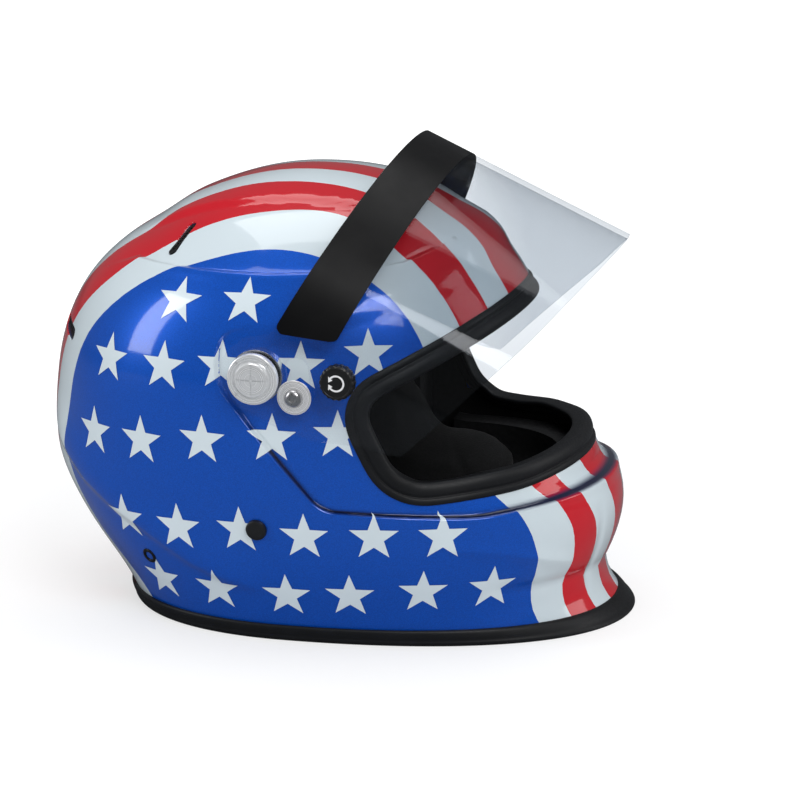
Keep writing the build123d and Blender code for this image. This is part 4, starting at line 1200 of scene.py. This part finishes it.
def swell(piece, pressure, cap):
    """A short cloth simulation under inner pressure, with no point moved further than the cap."""
    before = coords_of(piece)
    modifier = piece.modifiers.new("cloth", "CLOTH")
    settings = modifier.settings
    settings.use_pressure = True
    settings.uniform_pressure_force = pressure
    settings.effector_weights.gravity = 0.0
    settings.quality = 5
    settings.tension_stiffness = settings.compression_stiffness = 12
    settings.bending_stiffness = 0.6
    modifier.collision_settings.use_collision = False
    modifier.point_cache.frame_start = 1
    modifier.point_cache.frame_end = CLOTH_FRAMES
    for step in range(1, CLOTH_FRAMES + 1):
        bpy.context.scene.frame_set(step)
    apply_modifiers(piece)
    bpy.context.scene.frame_set(1)
    move = coords_of(piece) - before
    length = np.linalg.norm(move, axis=1, keepdims=True)
    put(piece, before + move * np.minimum(1, cap / np.maximum(length, 1e-6)))


def groove(values, pitch, width, depth):
    """A sewn channel every pitch millimetres along a coordinate."""
    d = np.abs((values / pitch + 0.5) % 1 - 0.5) * pitch
    return -depth * np.exp(-(d / width)**2)


def hold_inside(co, gap):
    """Draws points that reach past the shell's inner wall back inside it."""
    us = np.linspace(0, 4, 240, endpoint=False)
    q = np.sqrt(np.clip(1 - co[:, 2] / HEIGHT, 1e-4, 1))
    recessed = side_distance(RECESS_LINE, co[:, 0], co[:, 2]) > -2
    out = co.copy()
    for first in range(0, len(co), 4000):
        part = slice(first, first + 4000)
        wall = ring(us[None, :], q[part, None], inset=gap, seat=recessed[part, None] * 1.0)
        wx, wy = wall[..., 0] + 15, wall[..., 1]
        x, y = co[part, 0] + 15, co[part, 1]
        away = np.abs((np.arctan2(wy, wx) - np.arctan2(y, x)[:, None] + math.pi) % (2 * math.pi) - math.pi)
        near = np.argmin(away, axis=1)
        rows = np.arange(len(near))
        limit = np.hypot(wx[rows, near], wy[rows, near])
        scale = np.minimum(1, limit / np.maximum(np.hypot(x, y), 1e-6))
        out[part, 0], out[part, 1] = x * scale - 15, y * scale
    return out


def cushion(node, name, voxel, tighten, pressure, most):
    """A soft piece from a CAD node: evened, drawn in, then swollen under inner pressure."""
    piece = bpy.data.objects.new(name, nodes[node].data.copy())
    bpy.context.collection.objects.link(piece)
    piece.data.materials.clear()
    modify(piece, "REMESH", mode="VOXEL", voxel_size=voxel * MM)
    modify(piece, "SMOOTH", factor=0.5, iterations=4)
    put(piece, coords_of(piece) - normals_of(piece) * tighten)
    swell(piece, pressure, most)
    modify(piece, "SUBSURF", levels=1, render_levels=1)
    piece.data.polygons.foreach_set("use_smooth", [True] * len(piece.data.polygons))
    piece.data.update()
    return piece, coords_of(piece), normals_of(piece)


def sew(piece, co, no, depth, gap):
    """Presses seams into a cushion and keeps it inside the shell."""
    put(piece, hold_inside(co + no * depth[:, None], gap))
    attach(piece, "helmet")
    dress(piece, knit)


def build_padding():
    for side, name in SIDES:
        pad, co, no = cushion(f"cheek_pad_{name}", f"cheek_cushion_{name}", 4.5, 1.2, 4.0, 2.6)
        inward = smooth(0.35, 0.8, -side * no[:, 1])
        across = co[:, 0] * 0.86 + co[:, 2] * 0.5
        sew(pad, co, no, inward * groove(across - 30, 46, 2.4, 1.6), 4.2)
        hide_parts(f"cheek_pad_{name}")

    cap, co, no = cushion("comfort_liner", "head_cushion", 3.6, 0.5, 1.0, 0.8)
    middle = np.array([-20, 0, 120.0]) - co
    inward = smooth(0.3, 0.8, np.sum(no * middle, 1) / np.linalg.norm(middle, axis=1))
    turn = np.arctan2(np.abs(co[:, 1]), co[:, 2] - 100) * 80
    sewn = np.minimum(groove(turn - 17, 42, 2.2, 2.0),
                      groove(co[:, 0] + 6, 58, 2.2, 2.0) * smooth(10, 30, np.abs(co[:, 1])))
    sew(cap, co, no, inward * sewn, 4.2)
    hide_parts("comfort_liner")

    roll, co, no = cushion("neck_roll", "neck_cushion", 4.0, 0.8, 3.0, 1.8)
    turn = np.degrees(np.arctan2(co[:, 1], -co[:, 0] - 10)) * 1.6
    sew(roll, co, no, groove(turn, 44, 2.2, 1.4) * smooth(-0.2, 0.5, -no[:, 2] + 0.6), 4.6)
    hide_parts("neck_roll")


build_padding()


STRAP_WIDTH, STRAP_THICKNESS, STRAP_X = 25.0, 1.7, -20.5


def strap_mesh(name, path):
    """Webbing along a path in the (y, z) plane, with rounded edges, a slight ripple and UVs along it."""
    path = np.array(path, float)
    s = np.concatenate([[0], np.cumsum(np.linalg.norm(np.diff(path, axis=0), axis=1))])
    count = int(s[-1] / 1.5)
    at = np.linspace(0, s[-1], count)
    p = np.stack([np.interp(at, s, path[:, k]) for k in range(2)], -1)
    for _ in range(6):
        p[1:-1] = (p[:-2] + 2 * p[1:-1] + p[2:]) / 4
    t = unit(np.gradient(p, axis=0))
    n = np.stack([-t[:, 1], t[:, 0]], -1)
    half, r = STRAP_WIDTH / 2, STRAP_THICKNESS / 2
    profile = []
    for way in (1, -1):
        middle, start = way * (half - r), -way * math.pi / 2
        profile += arc(r, start, start + math.pi, 7, (middle, 0))
        profile += [(x, way * r) for x in np.linspace(middle, -middle, 20)[1:-1]]
    rows = []
    for i in range(count):
        for x, h in profile:
            ripple = 0.12 * math.sin(at[i] / 9.0 + x * 0.25)
            y, z = p[i] + n[i] * (h + ripple)
            rows.append((STRAP_X + x + 0.25 * math.sin(at[i] / 23.0), y, z))
    m = len(profile)
    faces = grid_faces(count, m, wrap_cols=True)
    faces += [tuple(range(m))[::-1], tuple(range((count - 1) * m, count * m))]
    piece = mesh_object(name, rows, faces, "helmet")
    uv = piece.data.uv_layers.new(name="weave")
    for poly in piece.data.polygons:
        for li in poly.loop_indices:
            i, k = divmod(piece.data.loops[li].vertex_index, m)
            uv.data[li].uv = (profile[k][0] * MM, at[i] * MM)
    return crease_by_angle(piece, 50)


def build_straps():
    drop = [(115.4, 80.0), (114.6, 67.6), (107.5, 36.0), (94.0, 18.0), (84.0, 8.0)]
    right = [(-a, b) for a, b in drop]
    right += [(-70, 8.0), (-62.0, 8.4), (-57.2, 10.5), (-56.3, 14.0), (-56.3, 62.0)]
    left = drop + [(70, 8.0), (57.4, 8.0)] + arc(5.4, 0.0, 2 * math.pi, 40, (52, 8))[2:-2]
    for name, path in (("right", right), ("left", left)):
        strap = strap_mesh(f"webbing_{name}", path)
        dress(strap, webbing)
        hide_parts(f"chin_strap_{name}")


build_straps()

# CAD pieces that stay, with their finishes
looks = {"eps_liner": foam, "chin_bar_liner": foam, "strap_snap": dark_steel, "d_ring_upper": steel,
         "d_ring_lower": steel, "lock_cam": plastic}
for _, name in SIDES:
    for node, material in {
        "strap_anchor": steel, "pivot_boss": aluminium, "pivot_nut": dark_steel, "pivot_washer": plastic,
        "detent_post": aluminium, "detent_nut": dark_steel, "crown_vent_mesh": dark_steel,
        "rear_vent_mesh": dark_steel,
    }.items():
        looks[f"{node}_{name}"] = material
for node, material in looks.items():
    coat(nodes[node], material)


# Floor, light and camera
def light_path(nt):
    """The light path node, and 1 for rays that come straight from the camera or through glass."""
    path = add(nt, "ShaderNodeLightPath")
    return path, maths(nt, "MAXIMUM", path.outputs["Is Camera Ray"], path.outputs["Is Transmission Ray"])


def floor_material():
    """White to the camera's rays, with a painted shadow under the helmet where its glow dims, over the real
    soft shadow on its diffuse part; dim in mirror rays.
    """
    material, nt, shader = tree("floor_white")
    nt.nodes.remove(shader)
    path, seen = light_path(nt)
    # Painted shadow: the glow dims towards the middle, under the helmet.
    away = add(nt, "ShaderNodeVectorMath", {0: on_object(nt)}, operation="LENGTH").outputs["Value"]
    level = add(nt, "ShaderNodeMapRange", {"Value": away, "From Min": 0.15, "From Max": 0.9, "To Min": 0.60,
                                           "To Max": 1.0}, interpolation_type="SMOOTHSTEP").outputs["Result"]
    glow = add(nt, "ShaderNodeEmission", {"Color": (1, 1, 1, 1), "Strength": level})
    pale = add(nt, "ShaderNodeBsdfDiffuse", {"Color": (0.40, 0.40, 0.40, 1)})
    both = add(nt, "ShaderNodeAddShader", {0: glow.outputs[0], 1: pale.outputs[0]})
    tone = ramp(nt, path.outputs["Is Glossy Ray"], 0.0, (0.75, 0.75, 0.75), 1.0, (0.16, 0.17, 0.18))
    plain = add(nt, "ShaderNodeBsdfDiffuse", {"Color": tone})
    mixed = add(nt, "ShaderNodeMixShader", {0: seen, 1: plain.outputs[0], 2: both.outputs[0]})
    feed(nt, nt.nodes["Material Output"], {"Surface": mixed.outputs[0]})
    return material


WIDE = 14000
floor = mesh_object("floor", [(-WIDE, -WIDE, 0), (WIDE, -WIDE, 0), (WIDE, WIDE, 0), (-WIDE, WIDE, 0)],
                    [(0, 1, 2, 3)], None, smooth_faces=False)
floor.data.materials.append(floor_material())

world = bpy.data.worlds.new("studio")
bpy.context.scene.world = world
world.use_nodes = True
wt = world.node_tree
wt.nodes.clear()
rays, straight = light_path(wt)
level = add(wt, "ShaderNodeMapRange", {"Value": rays.outputs["Is Glossy Ray"], "To Min": 0.42,
                                       "To Max": 0.13}).outputs["Result"]
dim = add(wt, "ShaderNodeBackground", {"Color": (0.93, 0.96, 1.0, 1), "Strength": level})
white = add(wt, "ShaderNodeBackground", {"Color": (1, 1, 1, 1), "Strength": 1.0})
wmix = add(wt, "ShaderNodeMixShader", {0: straight, 1: dim.outputs[0], 2: white.outputs[0]})
add(wt, "ShaderNodeOutputWorld", {"Surface": wmix.outputs[0]})


def lamp(name, place, aim, size, power):
    """A soft box that looks at a point."""
    data = bpy.data.lights.new(name, "AREA")
    data.shape = "RECTANGLE"
    data.size, data.size_y = size
    data.energy = power
    light = bpy.data.objects.new(name, data)
    bpy.context.collection.objects.link(light)
    light.location = place
    light.rotation_euler = (Vector(aim) - Vector(place)).to_track_quat("-Z", "Y").to_euler()


lamp("key_box", (1.1, -1.5, 1.7), (0, 0, 0.12), (1.2, 0.9), 24)
lamp("top_box", (-0.1, 0.3, 1.9), (0, 0, 0.1), (1.6, 1.2), 16)
lamp("rear_box", (-1.7, -0.9, 0.9), (0, 0, 0.12), (0.5, 1.3), 11)
lamp("front_box", (1.9, 0.5, 0.9), (0, 0, 0.1), (0.8, 1.2), 7)

azimuth, elevation, distance = math.radians(14.5), math.radians(14.0), 2.0
back = Vector((math.sin(azimuth) * math.cos(elevation), -math.cos(azimuth) * math.cos(elevation),
               math.sin(elevation)))
camera_data = bpy.data.cameras.new("camera")
camera = bpy.data.objects.new("camera", camera_data)
bpy.context.collection.objects.link(camera)
camera.location = Vector((0, 0, 0.125)) + back * distance
camera.rotation_euler = (-back).to_track_quat("-Z", "Y").to_euler()
camera_data.sensor_width = 36.0
camera_data.lens = 157.86
camera_data.shift_x = 0.06375
camera_data.shift_y = -0.02875
camera_data.clip_end = 100.0
bpy.context.scene.camera = camera
bpy.context.scene.view_settings.view_transform = "Standard"
